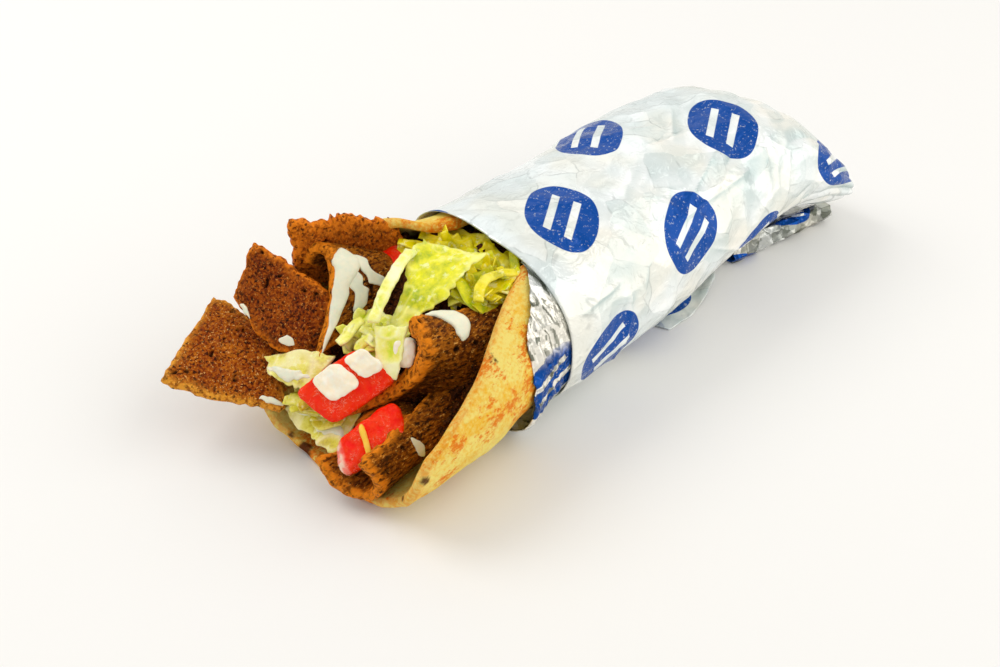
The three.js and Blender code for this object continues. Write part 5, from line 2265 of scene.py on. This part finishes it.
LAMPS = {
    "key": Lamp((-0.3, 0.6, 0.8), 0.9, 0.5, 2.8, (1.0, 0.99, 0.97)),
    "fill": Lamp((0.45, -0.7, 0.55), 1.0, 1.3, 6.3, (1.0, 0.97, 0.93)),
    "back": Lamp((0.5, 0.62, 0.6), 1.0, 0.6, 0.5, (1.0, 1.0, 1.0)),
}


@dataclass
class Studio:
    """The camera, the soft lights and the pale table."""

    azimuth: float = -46.0
    elevation: float = 39.0
    lens: float = 60.0
    distance: float = 500.0
    target: Point = (0.0, -8.0, 30.0)
    target_row: float = 315.0
    sensor_width: float = 36.0
    nearest: float = 0.01
    sky: Colour = (1.0, 0.995, 0.985, 1.0)
    sky_strength: float = 0.7
    table_half: float = 2.5

    def basis(self) -> tuple[Vector, Vector, Vector]:
        """The camera's right, up and backward directions.

        Returns:
            Three directions of length 1.
        """
        a, e = math.radians(self.azimuth), math.radians(self.elevation)
        back = Vector((math.sin(a) * math.cos(e), -math.cos(a) * math.cos(e), math.sin(e)))
        right = Vector((math.cos(a), math.sin(a), 0.0))
        return right, back.cross(right), back

    def build_camera(self) -> None:
        """A camera that sees the target in the middle column, a little above the middle row."""
        right, up, back = self.basis()
        data = bpy.data.cameras.new("view")
        data.lens = self.lens
        data.sensor_width = self.sensor_width
        data.clip_start = self.nearest
        camera = bpy.data.objects.new("view", data)
        bpy.context.scene.collection.objects.link(camera)
        pixels = self.lens / self.sensor_width * IMAGE_SIZE[0]
        drop = (IMAGE_SIZE[1] / 2 - self.target_row) / pixels * self.distance
        place = Vector(self.target) + back * self.distance - up * drop
        placed = (place + Vector(ROLL_ORIGIN)) / 1000.0
        rotation = Matrix((right, up, back)).transposed().to_4x4()
        camera.matrix_world = Matrix.Translation(placed) @ rotation
        bpy.context.scene.camera = camera

    def build_light(self, name: str, lamp: Lamp) -> None:
        """Makes a lamp that looks at the sandwich.

        Args:
            name: The light's name.
            lamp: Its sizes, power and colour.
        """
        data = bpy.data.lights.new(name, "AREA")
        data.size = lamp.side
        data.energy = lamp.watts
        data.color = lamp.tint
        light = bpy.data.objects.new(name, data)
        bpy.context.scene.collection.objects.link(light)
        away = Vector(lamp.direction).normalized()
        light.location = away * lamp.distance
        light.rotation_euler = away.to_track_quat("Z", "Y").to_euler()

    def build_sky(self) -> None:
        """An even, nearly white sky."""
        world = bpy.data.worlds.new("sky")
        world.use_nodes = True
        sky = world.node_tree.nodes["Background"]
        sky.inputs["Color"].default_value = self.sky
        sky.inputs["Strength"].default_value = self.sky_strength
        bpy.context.scene.world = world
        bpy.context.scene.view_settings.view_transform = "Standard"

    def build_table(self, material: Material) -> None:
        """A flat square under the sandwich, as scenery.

        Args:
            material: Its finish.
        """
        signs = ((-1, -1), (1, -1), (1, 1), (-1, 1))
        mesh = bpy.data.meshes.new("table")
        mesh.from_pydata([(a * self.table_half, b * self.table_half, 0) for a, b in signs], [], [range(4)])
        table = bpy.data.objects.new("table", mesh)
        table.data.materials.append(material)
        bpy.context.scene.collection.objects.link(table)

    def build(self, palette: Palette) -> None:
        """Makes the camera, lights, sky and table.

        Args:
            palette: The materials by their use.
        """
        self.build_camera()
        for name, lamp in LAMPS.items():
            self.build_light(name, lamp)
        self.build_sky()
        self.build_table(palette["table"])


# ---------------- the whole sandwich


def main() -> None:
    """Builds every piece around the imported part."""
    logging.basicConfig(level=logging.INFO, format="%(message)s")
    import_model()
    palette = build_palette()
    Studio().build(palette)
    parts = (FoilWrap(), Flatbread(), MeatSlices(), Lettuce(), Vegetables(), Filling(), Sauce())
    for part in parts:
        part.build(palette)
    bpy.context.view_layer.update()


if __name__ == "__main__":
    main()
